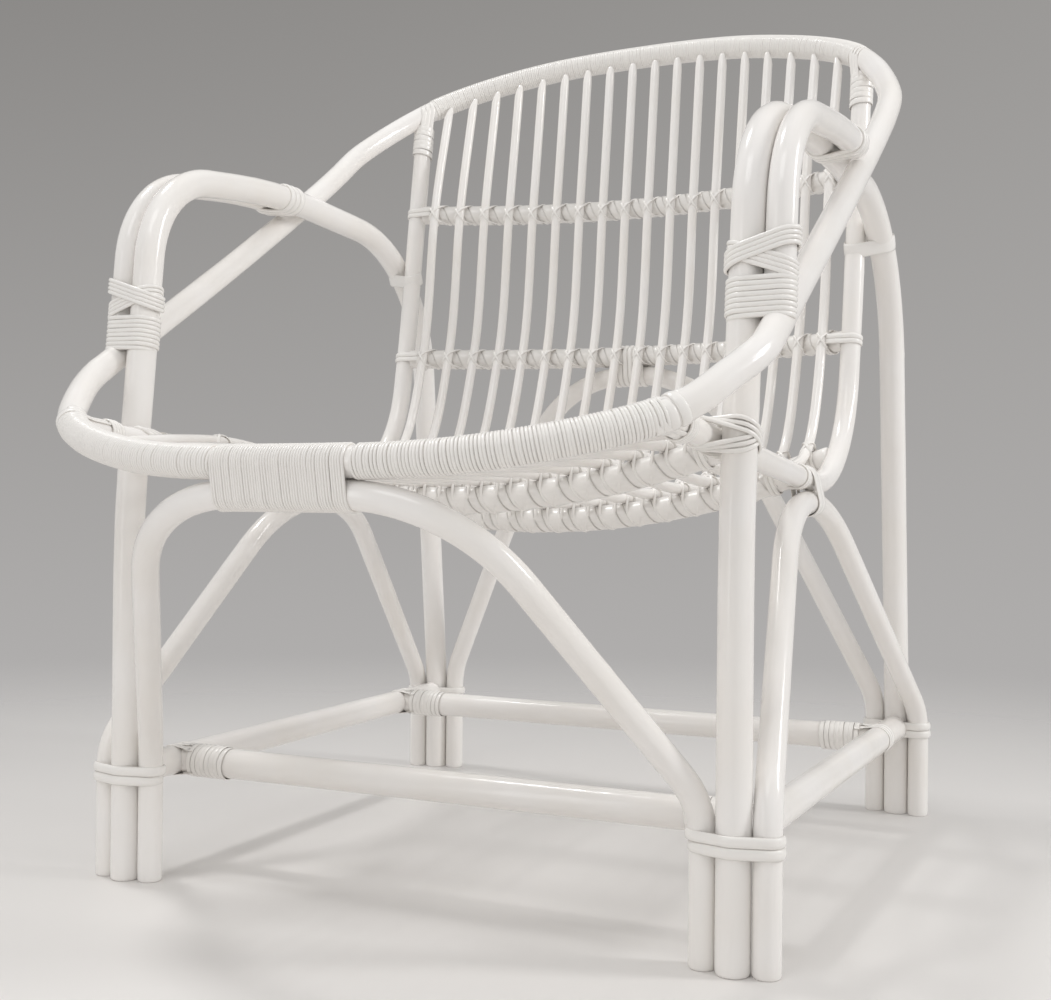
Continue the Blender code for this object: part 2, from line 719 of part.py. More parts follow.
# Arm bindings round the leg posts and outer arms, just clear of the hoop below
leg_way = nearest(low_cross, frame)[1]
hoop_way = nearest(low_cross, half_hoop)[1]
loop_reach = (ARM_D / 2 + ARM_STRAND_D + slack) * leg_way.dot(hoop_way)
rise = (HOOP_D / 2 + ARM_STRAND_D + slack + loop_reach) / leg_way.cross(hoop_way).length
arm_poles = [(frame, FRAME_D), (outer_arm, ARM_D)]
points = wound(arm_poles, low_cross + leg_way * rise, leg_way, ARM_TURNS, ARM_STRAND_D, math.pi)
strands("arm_binding", points, ARM_STRAND_D)

# Bindings of the outer arms' ends to the side frames, just in front of the hoop
hoop_way = nearest(high_cross, half_hoop)[1]
loop_stop = clear_of(ARM_D / 2 + HOOP_STRAND_D + slack, arm_way, hoop_way)
start = high_cross - arm_way * (loop_stop + HOOP_STRAND_D / 2 + slack)
points = wound(arm_poles, start, -arm_way, HOOP_TURNS, HOOP_STRAND_D, math.pi)
strands("hoop_binding", points, HOOP_STRAND_D)

# Flat bands just under the places where the uprights cross the rear legs
way = (nearest(band_at, rail)[1] + nearest(band_at, frame)[1]).normalized()
levels = [(band_at + way * (BAND_DROP + BAND_H * k / 2), way) for k in (-1, 0, 1)]
band_poles = [(rail, RAIL_D), (frame, FRAME_D)]
bores = girdles(band_poles, levels, 2 * slack)
skins = girdles(band_poles, levels, 2 * slack + BAND_T)
casing("leg_band_right", bores, skins)
casing("leg_band_left", [mirrored(r) for r in bores], [mirrored(r) for r in skins])

# The origin goes to the middle of the floor area
bpy.context.view_layer.update()
solids = [thing for thing in bpy.data.objects if not thing.hide_render]
depths = [corner[1] for thing in solids for corner in thing.bound_box]
for thing in bpy.data.objects:
    thing.location.y = -(min(depths) + max(depths)) / 2
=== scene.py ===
"""White gloss-painted rattan armchair: round canes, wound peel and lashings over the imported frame, in metres."""

import math
import random

import bmesh
import bpy
from mathutils import Matrix, Vector
from mathutils.geometry import intersect_line_line_2d, intersect_point_line


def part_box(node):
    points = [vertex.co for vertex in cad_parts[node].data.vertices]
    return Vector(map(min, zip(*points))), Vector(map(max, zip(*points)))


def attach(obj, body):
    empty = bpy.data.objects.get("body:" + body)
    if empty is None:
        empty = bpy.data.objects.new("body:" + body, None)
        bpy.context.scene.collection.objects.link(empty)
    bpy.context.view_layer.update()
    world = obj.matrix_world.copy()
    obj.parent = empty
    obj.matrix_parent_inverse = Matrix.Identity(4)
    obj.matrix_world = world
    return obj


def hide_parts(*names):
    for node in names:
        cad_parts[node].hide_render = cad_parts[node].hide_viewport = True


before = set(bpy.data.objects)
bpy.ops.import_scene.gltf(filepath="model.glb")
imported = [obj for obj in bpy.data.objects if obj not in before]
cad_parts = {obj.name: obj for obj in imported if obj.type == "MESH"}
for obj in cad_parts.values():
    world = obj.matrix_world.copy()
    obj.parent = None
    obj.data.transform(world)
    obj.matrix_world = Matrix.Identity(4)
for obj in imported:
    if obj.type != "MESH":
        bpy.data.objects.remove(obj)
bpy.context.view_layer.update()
random.seed(18)

# Cane diameters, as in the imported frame
FRAME_D = 0.0245
HOOP_D = 0.0215
ARM_D = 0.0215
RAIL_D = 0.019
BRACE_D = 0.020
STRETCHER_D = 0.025
BAR_D = 0.020
SLAT_D = 0.0096
WRAP_T = 0.0011
FIT = 0.0003

# Side frames: distance apart, and the pole's bends as depth, height and bend radius
FRONT_HALF_SPAN = 0.2595
REAR_HALF_SPAN = 0.2695
FRONT_FOOT_Y = -0.2580
REAR_FOOT_Y = 0.2930
SHIN_Z, SHIN_R = 0.300, 1.0
ARM_FRONT_Y, ARM_FRONT_Z, ARM_FRONT_R = -0.2288, 0.5875, 0.090
ARM_CROWN_SHARE, ARM_CROWN_RISE, ARM_CROWN_R = 0.37, 0.0197, 0.7
ARM_REAR_Y, ARM_REAR_Z, ARM_REAR_R = 0.2382, 0.599, 0.159
REAR_KNEE_Z, REAR_KNEE_R = 0.100, 0.100

# Hoop: its front and back middles, and the places between as shares of width, depth and height
RIM_Y, RIM_Z = -0.4065, 0.3384
TOP_Y, TOP_Z = 0.2684, 0.8056
RIM_SHAPE = ((0.534, 0.019, 0.013), (0.943, 0.097, 0.071), (1.040, 0.149, 0.125))
SIDE_SHAPE = ((0.199, 0.171), (0.269, 0.236), (0.513, 0.464), (0.736, 0.684))
TOP_SHAPE = ((1.066, 0.810, 0.770), (0.865, 0.934, 0.912), (0.481, 0.980, 0.978))

# Uprights with seat rails, and the bars across with how far each bows
BACK_BEND_Y, BACK_BEND_Z, BACK_BEND_R = 0.1747, 0.500, 0.53
SEAT_CORNER_Y, SEAT_CORNER_Z, SEAT_CORNER_R = 0.1414, 0.3232, 0.127
FRONT_BAR_Y = -0.200
REAR_BAR_Y = -0.020
LOWER_BAR_Z = 0.472
UPPER_BAR_SHARE = 0.335
SEAT_DISH = 0.040
CORNER_BOW = 0.050
BACK_BOW = 0.060
SLAT_COUNT = 18
SLAT_SPREAD = 0.93

# Arches: bearing of their feet beside the leg posts, bends and crowns
FOOT_BEARING = math.radians(10)
FRONT_KNEE_Z, FRONT_CROWN_X, FRONT_CROWN_R = 0.110, 0.120, 0.120
FRONT_CROWN_DROP, CROWN_TILT = 0.02105, math.radians(8)
SIDE_FRONT_KNEE_Z, SIDE_REAR_KNEE_Z, SIDE_KNEE_R = 0.112, 0.104, 0.050
SIDE_CROWN_IN, SIDE_CROWN_Y, SIDE_CROWN_Z, SIDE_CROWN_R = 0.008, -0.0034, 0.37556, 0.1446
BACK_KNEE_Z, BACK_CROWN_X, BACK_CROWN_R = 0.115, 0.083, 0.148
BACK_CROWN_DROP = 0.0203
KNEE_R = 0.070

# Stretchers and windings
STRETCHER_Z = 0.088
FRONT_STRETCHER_Y = -0.189
BACK_STRETCHER_Y = 0.206
FOOT_BIND_Z = 0.0844
CENTRE_BIND_L = 0.106
COLLAR_L = 0.034
BAND_H = 0.014
BAND_DROP = 0.012

# Canes: how far an end reaches into what it meets, knots with their swelling, and worn ends
END_SEAT = 0.3
WAVER = 0.006
KNOT_SWELL, KNOT_L = 0.018, 0.004
KNOT_FIRST, KNOT_APART = (0.05, 0.25), (0.20, 0.34)
EDGE_SHARE, EDGE_L = 0.9, 0.0018
TIP_FLOOR, TIP_ROUND = 0.5, 0.0010

# Slat tips: length and width of the bevel in the middle and what is added at the sides, and place on the top rail
TIP_L, TIP_L_MORE = 0.0085, 0.0025
TIP_SHARE, TIP_SHARE_LESS = 0.64, 0.27
TIP_AHEAD, TIP_BELOW = 0.84, 0.76

# Peel strips: pitch or width, then thickness, and turns or count where they are set
CLOSE = 0.98
RIM_PITCH, RIM_PEEL_T = 0.0024, 0.0014
WIDE_PITCH, WIDE_TURNS = 0.0075, 2
TOP_PITCH, TOP_PEEL_T = 0.0021, 0.0011
BIND_PITCH, BIND_PEEL_T = 0.0021, 0.0018
FOOT_STRIP_W, FOOT_STRIP_T, FOOT_TURNS = 0.0077, 0.0024, 2
ARM_STRIP_W, ARM_STRIP_T, ARM_TURNS = 0.0037, 0.0017, 8
ARM_CROSS_W, ARM_CROSS_T, ARM_CROSSES = 0.0034, 0.0019, 4
ARM_CROSS_TILT, ARM_CROSS_RISE, ARM_CROSS_LIFT = 19, 0.015, 0.0016
END_STRIP_W, END_STRIP_T, END_TURNS = 0.0080, 0.0021, 3
BAND_T = 0.0012
COLLAR_TURNS, COLLAR_T = 6, 0.0006
UPRIGHT_STRAP_W, UPRIGHT_STRAP_T, UPRIGHT_STRAPS = 0.0056, 0.0010, 3
RAIL_STRAP_W, RAIL_STRAP_T, RAIL_STRAPS, RAIL_STRAP_L = 0.0048, 0.0012, 2, 0.040
RAIL_TURN, RAIL_TURN_W, RAIL_TURN_T, RAIL_TURNS = 0.0034, 0.0033, 0.0014, 4
SEAT_LASH_W, SEAT_LASH_T, SEAT_LASH_PITCH = 0.0034, 0.0018, 0.0035
SEAT_LASH_RISE, SEAT_LASH_LIFT = 0.58, 0.0012
SIDE_TIE_W, SIDE_TIE_T, SIDE_TIE_AHEAD = 0.0095, 0.0010, 0.0115
SIDE_BAND_W, SIDE_BAND_T, SIDE_BAND_BEHIND = 0.0130, 0.0011, 0.0025
SIDE_BAND_TILT, SIDE_BAND_LIFT = 0.18, 0.0009
BACK_TIE_PITCH, BACK_TIE_W, BACK_TIE_T, BACK_TIE_TURNS = 0.0058, 0.0056, 0.0022, 6
CROSS_TURN_W, CROSS_TURN_T, CROSS_TURNS = 0.0047, 0.0007, 8
CROSS_STRAP_W, CROSS_STRAP_T, CROSS_STRAPS = 0.0076, 0.0009, 3
SLAT_LASH_W, SLAT_LASH_T, SLAT_LASH_DROP, SLAT_LASH_LIFT = 0.0026, 0.0010, 0.005, 0.0004
SEAT_PEEL_T, BACK_PEEL_T = 0.0009, 0.0006
BAR_TURN, BAR_TURN_W, BAR_TURN_T, BAR_TURNS = 0.0036, 0.0035, 0.0012, 2
BAR_STRAP_W, BAR_STRAP_T, BAR_STRAPS = 0.0048, 0.0014, 2
STRAP_L = 0.022
STRAP_BED = 0.0024
WRAP_MARGIN = 0.004

# Mesh fineness
ARC_STEP = math.radians(3)
SPAN_STEPS = 12
OUTLINE_STEPS = 120
CANE_STEP = 0.007
END_INSETS = (0.0004, 0.0012, 0.0028)
RUN_STEP = 0.004
TINY = 1e-9

X_AXIS = Vector((1, 0, 0))
Y_AXIS = Vector((0, 1, 0))
Z_AXIS = Vector((0, 0, 1))
HOOP_OFFSET = (FRAME_D + HOOP_D) / 2 + FIT
ARM_OFFSET = (FRAME_D + ARM_D) / 2 + FIT
RAIL_OFFSET = (FRAME_D + RAIL_D) / 2 + FIT
BRACE_OFFSET = (FRAME_D + BRACE_D) / 2 + FIT
WRAP_D = HOOP_D + 2 * FIT + 2 * WRAP_T

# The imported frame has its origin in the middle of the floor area
DEPTH_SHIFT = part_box("side_frame_right")[1].y - REAR_FOOT_Y - FRAME_D / 2


# Finishes: sizes of the paint's unevenness in millimetres, and its gloss
POLE_R_MM = 12
SAG_MM, CREAM_MM, CLOUD_MM = 14, 70, 15
FIBRE_MM, FIBRES_ACROSS, FIBRE_DEPTH = 20, 8, 0.00012
PAINT_IOR = 1.5


def linear(colour):
    """Linear colour from an sRGB hex value."""
    parts = [int(colour[i:i + 2], 16) / 255 for i in (1, 3, 5)]
    return (*[c / 12.92 if c <= 0.04045 else ((c + 0.055) / 1.055) ** 2.4 for c in parts], 1)


def add(tree, kind, inputs, **settings):
    """Adds a node with its settings, and links or sets its inputs."""
    node = tree.nodes.new(kind)
    for name, value in settings.items():
        setattr(node, name, value)
    for name, value in inputs.items():
        if isinstance(value, bpy.types.NodeSocket):
            tree.links.new(value, node.inputs[name])
        else:
            node.inputs[name].default_value = value
    return node


def blank(name):
    """New material, its node tree and its Principled shader."""
    material = bpy.data.materials.new(name)
    material.use_nodes = True
    return material, material.node_tree, material.node_tree.nodes["Principled BSDF"]


def brushed_enamel(name, light, shade, ripple_mm, ripple_depth, sag_depth):
    """White enamel brushed over cane: hard gloss that breaks up along the fibres, cream where the coat is thin."""
    material, tree, shader = blank(name)
    uv = add(tree, "ShaderNodeUVMap", {}, uv_map="UVMap").outputs["UV"]
    split = add(tree, "ShaderNodeSeparateXYZ", {"Vector": uv})
    turn = add(tree, "ShaderNodeMath", {0: split.outputs["Y"], 1: 2 * math.pi}, operation="MULTIPLY").outputs[0]
    sine = add(tree, "ShaderNodeMath", {0: turn}, operation="SINE").outputs[0]
    cosine = add(tree, "ShaderNodeMath", {0: turn}, operation="COSINE").outputs[0]
    # Fibre ripples run along the cane: UV holds metres along it and turns round it
    along = add(tree, "ShaderNodeMath", {
        0: split.outputs["X"], 1: 1000 / (POLE_R_MM * ripple_mm)}, operation="MULTIPLY")
    fibre = add(tree, "ShaderNodeCombineXYZ", {"X": along.outputs[0], "Y": sine, "Z": cosine})
    ripple = add(tree, "ShaderNodeTexNoise", {
        "Vector": fibre.outputs[0], "Scale": POLE_R_MM / ripple_mm, "Detail": 0.0})
    place = add(tree, "ShaderNodeTexCoord", {}).outputs["Object"]
    # Sag of the coat, and wide cream patches
    coat = add(tree, "ShaderNodeTexNoise", {"Vector": place, "Scale": 1000 / SAG_MM, "Detail": 0.0})
    cloud = add(tree, "ShaderNodeTexNoise", {"Vector": place, "Scale": 1000 / CREAM_MM, "Detail": 3.0})
    spread = add(tree, "ShaderNodeMapRange", {
        "Value": cloud.outputs[0], "From Min": 0.35, "From Max": 0.7})
    tint = add(tree, "ShaderNodeMix", {
        "Factor": spread.outputs[0], "A": linear(light), "B": linear(shade)}, data_type="RGBA")
    tree.links.new(tint.outputs["Result"], shader.inputs["Base Color"])
    gloss = add(tree, "ShaderNodeMapRange", {"Value": ripple.outputs[0], "To Min": 0.13, "To Max": 0.20})
    tree.links.new(gloss.outputs[0], shader.inputs["Roughness"])
    low = add(tree, "ShaderNodeBump", {"Height": ripple.outputs[0], "Distance": ripple_depth, "Strength": 0.5})
    fine = add(tree, "ShaderNodeBump", {
        "Height": coat.outputs[0], "Distance": sag_depth, "Strength": 0.5, "Normal": low.outputs[0]})
    tree.links.new(fine.outputs[0], shader.inputs["Normal"])
    shader.inputs["IOR"].default_value = PAINT_IOR
    return material


def enamelled_peel(name, light, seam_and_crease_shade):
    """Painted rattan peel: rounded strips whose edges are darker, partly from thin paint and partly from painted shade
    of the creases between strips.
    """
    material, tree, shader = blank(name)
    uv = add(tree, "ShaderNodeUVMap", {}, uv_map="UVMap").outputs["UV"]
    split = add(tree, "ShaderNodeSeparateXYZ", {"Vector": uv})
    # Distance from the middle of the strip, 0 there and 1 at its edges
    off = add(tree, "ShaderNodeMath", {0: split.outputs["Y"], 1: 0.5}, operation="SUBTRACT").outputs[0]
    far = add(tree, "ShaderNodeMath", {0: off}, operation="ABSOLUTE").outputs[0]
    edge = add(tree, "ShaderNodeMapRange", {"Value": far, "From Min": 0.30, "From Max": 0.5})
    place = add(tree, "ShaderNodeTexCoord", {}).outputs["Object"]
    cloud = add(tree, "ShaderNodeTexNoise", {"Vector": place, "Scale": 1000 / CLOUD_MM, "Detail": 3.0})
    # Darker strip edges, broken up by noise: partly thin paint, partly painted shade in the creases between the strips
    thin_paint_and_crease_shade = add(tree, "ShaderNodeMath", {0: edge.outputs[0], 1: cloud.outputs[0]}, operation="MULTIPLY").outputs[0]
    tint = add(tree, "ShaderNodeMix", {"Factor": thin_paint_and_crease_shade, "A": linear(light), "B": linear(seam_and_crease_shade)}, data_type="RGBA")
    tree.links.new(tint.outputs["Result"], shader.inputs["Base Color"])
    gloss = add(tree, "ShaderNodeMapRange", {"Value": cloud.outputs[0], "To Min": 0.18, "To Max": 0.30})
    tree.links.new(gloss.outputs[0], shader.inputs["Roughness"])
    # Fibre lines along the strip, many to its width
    stretch = add(tree, "ShaderNodeVectorMath", {0: uv, 1: (1000 / FIBRE_MM, FIBRES_ACROSS, 0)}, operation="MULTIPLY")
    fibre = add(tree, "ShaderNodeTexNoise", {"Vector": stretch.outputs[0], "Scale": 1.0, "Detail": 2.0})
    bump = add(tree, "ShaderNodeBump", {"Height": fibre.outputs[0], "Distance": FIBRE_DEPTH, "Strength": 0.4})
    tree.links.new(bump.outputs[0], shader.inputs["Normal"])
    shader.inputs["IOR"].default_value = PAINT_IOR
    return material


POLE_ENAMEL = brushed_enamel("white_enamel_on_pole", "#F3F0ED", "#F0ECE7", 3.0, 0.00013, 0.00010)
SLAT_ENAMEL = brushed_enamel("white_enamel_on_slat", "#F3F0ED", "#F0ECE7", 1.5, 0.00005, 0.00005)
# The peel's second colour is its darker strip edge: thin paint and painted crease shade
PEEL_ENAMEL = enamelled_peel("white_enamel_on_peel", "#F1EEEA", "#CBC5BC")


# Paths
def half_span(y):
    """Half the distance between the side frames' planes at this depth."""
    share = (y - FRONT_FOOT_Y) / (REAR_FOOT_Y - FRONT_FOOT_Y)
    return FRONT_HALF_SPAN + (REAR_HALF_SPAN - FRONT_HALF_SPAN) * share


def beside(y, z, offset=0.0):
    """Point of the right side frame's plane, moved outward by the offset."""
    return Vector((half_span(y) + offset, y, z))


def slat_room(y):
    """Half the room for slats between the side rails at this depth."""
    return half_span(y) - RAIL_OFFSET - RAIL_D / 2


def rounded(corners, radii):
    """Path through the corners, each inner one bent to its radius."""
    path = [corners[0]]
    for before, corner, after, radius in zip(corners, corners[1:], corners[2:], radii):
        back = (before - corner).normalized()
        onward = (after - corner).normalized()
        turn = math.pi - back.angle(onward)
        centre = corner + (back + onward).normalized() * (radius / math.cos(turn / 2))
        arm = corner + back * (radius * math.tan(turn / 2)) - centre
        axis = back.cross(arm)
        steps = max(1, math.ceil(turn / ARC_STEP))
        for k in range(steps + 1):
            path.append(centre + Matrix.Rotation(turn * k / steps, 3, axis) @ arm)
    path.append(corners[-1])
    return path


def smooth(points, steps, closed=False):
    """Centripetal Catmull-Rom curve through the points."""
    if closed:
        knots = [points[-1], *points, points[0], points[1]]
    else:
        knots = [2 * points[0] - points[1], *points, 2 * points[-1] - points[-2]]
    path = []
    for a, b, c, d in zip(knots, knots[1:], knots[2:], knots[3:]):
        t1 = math.sqrt((b - a).length)
        t2 = t1 + math.sqrt((c - b).length)
        t3 = t2 + math.sqrt((d - c).length)
        for k in range(steps):
            t = t1 + (t2 - t1) * k / steps
            ab = a.lerp(b, t / t1)
            bc = b.lerp(c, (t - t1) / (t2 - t1))
            cd = c.lerp(d, (t - t2) / (t3 - t2))
            path.append(ab.lerp(bc, t / t2).lerp(bc.lerp(cd, (t - t1) / (t3 - t1)), (t - t1) / (t2 - t1)))
    if not closed:
        path.append(points[-1])
    return path


def flipped(point):
    """The point on the chair's other side."""
    return Vector((-point.x, point.y, point.z))


def mirrored(path):
    """The path on the chair's other side."""
    return [flipped(p) for p in path]


def crossing(path, measure):
    """Points of the path where the measure changes sign."""
    found = []
    for a, b in zip(path, path[1:]):
        low, high = measure(a), measure(b)
        if low * high <= 0 and low != high:
            found.append(a.lerp(b, low / (low - high)))
    return found


def length(path):
    """Length of the path."""
    return sum((b - a).length for a, b in zip(path, path[1:]))


def resampled(path, count):
    """The path as this many equal steps."""
    total = length(path)
    points, i, passed = [path[0]], 0, 0.0
    for k in range(1, count):
        mark = total * k / count
        while passed + (path[i + 1] - path[i]).length < mark:
            passed += (path[i + 1] - path[i]).length
            i += 1
        points.append(path[i].lerp(path[i + 1], (mark - passed) / (path[i + 1] - path[i]).length))
    return [*points, path[-1]]


def at_length(path, distance):
    """Point this far along the path."""
    for a, b in zip(path, path[1:]):
        step = (b - a).length
        if distance <= step:
            return a.lerp(b, distance / step)
        distance -= step
    return path[-1]


def nearest(point, path):
    """Closest point of the path, with the direction of the path there."""
    best = None
    for a, b in zip(path, path[1:]):
        if (b - a).length < TINY:
            continue
        share = intersect_point_line(point, a, b)[1]
        near = a.lerp(b, min(1, max(0, share)))
        if best is None or (near - point).length < (best[0] - point).length:
            best = (near, (b - a).normalized())
    return best


def stretch_of(path, start, stop):
    """Part of the path between the places nearest to two points."""
    def mark(point):
        best, passed = (math.inf, 0.0), 0.0
        for a, b in zip(path, path[1:]):
            step = (b - a).length
            if step < TINY:
                continue
            share = min(1, max(0, intersect_point_line(point, a, b)[1]))
            best = min(best, ((a.lerp(b, share) - point).length, passed + share * step))
            passed += step
        return best[1]

    low, high = mark(start), mark(stop)
    count = max(2, round(abs(high - low) / RUN_STEP))
    return [at_length(path, low + (high - low) * k / count) for k in range(count + 1)]


def meeting(first, second):
    """Points of the first path where the two cross, seen from the side."""
    found = []
    for a, b in zip(first, first[1:]):
        for c, d in zip(second, second[1:]):
            hit = intersect_line_line_2d(a.yz, b.yz, c.yz, d.yz)
            if hit:
                found.append(a.lerp(b, (hit - a.yz).length / (b - a).yz.length))
    return found


# Making
def fit(piece, material, slot, *nodes):
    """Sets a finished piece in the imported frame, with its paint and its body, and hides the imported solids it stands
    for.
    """
    piece.data.transform(Matrix.Translation((0, DEPTH_SHIFT, 0)))
    piece.data.materials.clear()
    piece.data.materials.append(material)
    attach(piece, "root")
    if nodes:
        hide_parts(*nodes)
    return piece


def worn(end, gap):
    """Share of a cane's diameter this far from its end: cut square with a worn edge, or drawn out to a blunt tip."""
    if not end:
        return EDGE_SHARE + (1 - EDGE_SHARE) * min(1, gap / EDGE_L) ** 0.5
    reach, tip = end
    drawn = tip + (1 - tip) * min(1, gap / reach)
    return drawn * math.sqrt(max(TIP_FLOOR, 1 - (1 - min(1, gap / TIP_ROUND)) ** 2))


def cane(name, path, diameter, node, material=POLE_ENAMEL, slot="pole_paint", closed=False, fine=10,
         ends=(None, None), lean=Vector()):
    """Bends a round cane along a path as a bevelled curve and makes it a mesh.
    An end is cut square, or drawn out over a length to a share of the diameter.
    The last end is drawn to the side that it leans to."""
    total = length(path)
    count = round(total / CANE_STEP)
    marks = [total * k / count for k in range(count if closed else count + 1)]
    if not closed:
        marks = sorted([*marks, *[m for inset in END_INSETS for m in (inset, total - inset)]])
    points = [at_length(path, mark) for mark in marks]
    knots, mark = [], random.uniform(*KNOT_FIRST)
    while mark < total:
        knots.append(mark)
        mark += random.uniform(*KNOT_APART)
    phase = random.uniform(0, 6)
    shares = []
    for i, mark in enumerate(marks):
        share = 1 + WAVER * math.sin(mark * 40 + phase) * math.sin(mark * 17 + 2 * phase)
        share += sum(KNOT_SWELL * math.exp(-((mark - knot) / KNOT_L) ** 2) for knot in knots)
        if not closed:
            last = worn(ends[1], max(0, total - mark))
            share *= worn(ends[0], mark) * last
            points[i] = points[i] + lean * (1 - last) * diameter / 2
        shares.append(share)
    bpy.ops.object.select_all(action="DESELECT")
    bpy.ops.curve.primitive_nurbs_path_add()
    piece = bpy.context.object
    piece.name = name
    shape = piece.data
    shape.splines.clear()
    line = shape.splines.new("POLY")
    line.points.add(len(points) - 1)
    for target, point, share in zip(line.points, points, shares):
        target.co = (*point, 1)
        target.radius = share
    line.use_cyclic_u = closed
    shape.dimensions = "3D"
    shape.bevel_depth = diameter / 2
    shape.bevel_resolution = fine
    shape.use_fill_caps = not closed
    bpy.ops.object.convert(target="MESH")
    bpy.ops.object.mode_set(mode="EDIT")
    bpy.ops.mesh.select_all(action="SELECT")
    bpy.ops.mesh.remove_doubles(threshold=1e-6)
    bpy.ops.mesh.normals_make_consistent(inside=False)
    bpy.ops.object.mode_set(mode="OBJECT")
    bpy.ops.object.shade_smooth_by_angle(angle=math.radians(50))
    for corner in piece.data.uv_layers["UVMap"].data:
        corner.uv.x *= total
    piece.location = (0, 0, 0)
    piece.data.name = name
    return fit(piece, material, slot, node)


def canes(name, path, diameter, node, **more):
    """Right cane and its mirrored left one."""
    cane(name + "_right", path, diameter, node + "_right", **more)
    cane(name + "_left", mirrored(path), diameter, node + "_left", **more)


# Strips of peel have a flat back and a rounded face, so they are lofted section by section
HALF_SECTION = ((-0.5, -0.1), (-0.5, 0.45), (-0.36, 0.84), (-0.13, 1.0))
PEEL_SECTION = (*HALF_SECTION, *[(-across, rise) for across, rise in HALF_SECTION[::-1]])


def lay_strip(mesh, uv, points, outs, width, thick, closed=False):
    """Adds one strip of peel to a mesh, its back on the points and its face outward."""
    count = len(points)
    loops, marks, mark = [], [], 0.0
    for i, (point, out) in enumerate(zip(points, outs)):
        before = points[i - 1] if i or closed else point
        after = points[(i + 1) % count] if i < count - 1 or closed else point
        along = (after - before).normalized()
        out = (out - along * out.dot(along)).normalized()
        across = along.cross(out)
        loops.append([mesh.verts.new(point + across * (a * width) + out * (h * thick)) for a, h in PEEL_SECTION])
        mark += (point - points[i - 1]).length if i else 0
        marks.append(mark)
    last = len(PEEL_SECTION) - 1
    pairs = list(zip(range(count - 1), range(1, count)))
    if closed:
        pairs.append((count - 1, 0))
    for i, j in pairs:
        far = marks[j] if j else marks[i] + (points[0] - points[i]).length
        for k in range(last + 1):
            n = (k + 1) % (last + 1)
            face = mesh.faces.new((loops[i][k], loops[i][n], loops[j][n], loops[j][k]))
            face.smooth = True
            for corner, value in zip(face.loops, ((marks[i], k), (marks[i], n), (far, n), (far, k))):
                corner[uv].uv = (value[0], value[1] / last)
    if not closed:
        mesh.faces.new(loops[0])
        mesh.faces.new(loops[-1])


def peel(name, strips, *nodes):
    """One piece from strips of peel."""
    mesh = bmesh.new()
    uv = mesh.loops.layers.uv.new("UVMap")
    for strip in strips:
        lay_strip(mesh, uv, *strip)
    bmesh.ops.recalc_face_normals(mesh, faces=mesh.faces)
    data = bpy.data.meshes.new(name)
    mesh.to_mesh(data)
    mesh.free()
    piece = bpy.data.objects.new(name, data)
    bpy.context.collection.objects.link(piece)
    return fit(piece, PEEL_ENAMEL, "winding_paint", *nodes)


def other_side(strips):
    """The strips mirrored to the left side."""
    return [(mirrored(points), mirrored(outs), *rest) for points, outs, *rest in strips]


def peels(name, strips, node=None):
    """Right piece of peel and its mirrored left one."""
    peel(name + "_right", strips, *([node + "_right"] if node else []))
    peel(name + "_left", other_side(strips), *([node + "_left"] if node else []))


def near(path, point, reach=0.12):
    """Run of the path within reach of a point."""
    inside = [i for i, p in enumerate(path) if (p - point).length < reach]
    if not inside:
        return path
    return path[max(0, inside[0] - 1):inside[-1] + 2]


def loop_round(poles, centre, normal, start, lift, count):
    """Taut loop round poles in a plane: evenly spaced points with their outward directions."""
    start = (start - normal * start.dot(normal)).normalized()
    side = normal.cross(start)
    sections = []
    for path, diameter in poles:
        hits = crossing(path, lambda p: (p - centre).dot(normal))
        if not hits:
            continue
        middle = min(hits, key=lambda p: (p - centre).length)
        along = nearest(middle, path)[1]
        slant = along - normal * along.dot(normal)
        major = slant.normalized() if slant.length > 1e-6 else start
        minor = normal.cross(major)
        sections.append((middle, major, minor, diameter / 2 / abs(along.dot(normal)) + lift, diameter / 2 + lift))
    outline = []
    for k in range(OUTLINE_STEPS):
        angle = 2 * math.pi * k / OUTLINE_STEPS
        towards = start * math.cos(angle) + side * math.sin(angle)
        best = None
        for middle, major, minor, a, b in sections:
            u, v = towards.dot(major), towards.dot(minor)
            point = middle + (major * (a * a * u) + minor * (b * b * v)) / math.hypot(a * u, b * v)
            if best is None or (point - best).dot(towards) > 0:
                best = point
        outline.append(best)
    points = resampled([*outline, outline[0]], count)[:-1]
    outs = []
    for i in range(count):
        way = (points[(i + 1) % count] - points[i - 1]).normalized()
        outs.append(way.cross(normal).normalized())
    return points, outs


def wind(poles, planes, start, width, thick, count=24, lift=0.0, level=0.0):
    """Strip wound round poles through a row of planes, its ends tucked under.
    Each turn stays level for this share of its way and then moves over to the next."""
    loops = [loop_round(poles, centre, normal, start, lift, count) for centre, normal in planes]
    points, outs = [], []
    for (a, a_out), (b, b_out) in zip(loops, loops[1:]):
        for k in range(count):
            share = max(0, k / count - level) / (1 - level)
            points.append(a[k].lerp(b[k], share))
            outs.append(a_out[k].lerp(b_out[k], share))
    points.append(loops[-1][0][0])
    outs.append(loops[-1][1][0])
    tuck = count // 5
    for i in range(tuck):
        sink = thick * (1 - i / tuck)
        points[i] = points[i] - outs[i] * sink
        points[-1 - i] = points[-1 - i] - outs[-1 - i] * sink
    return points, outs, width, thick


def ring(poles, centre, normal, start, width, thick, count=32, lift=0.0):
    """One closed loop of peel round poles."""
    return (*loop_round(poles, centre, normal, start, lift, count), width, thick, True)


def planes_along(path, start, pitch, turns, shake=0.0):
    """Planes across a path, one for each turn of a winding, a little uneven."""
    planes = []
    for k in range(turns + 1):
        centre, way = nearest(at_length(path, start + pitch * (k + random.uniform(-shake, shake))), path)
        lean = Vector([random.uniform(-shake, shake) * 0.12 for _ in range(3)])
        planes.append((centre, (way + lean).normalized()))
    return planes


def planes_beside(centre, normal, pitch, turns):
    """Planes side by side, one for each turn of a winding, about a centre."""
    return [(centre + normal * (pitch * (k - turns / 2)), normal) for k in range(turns + 1)]


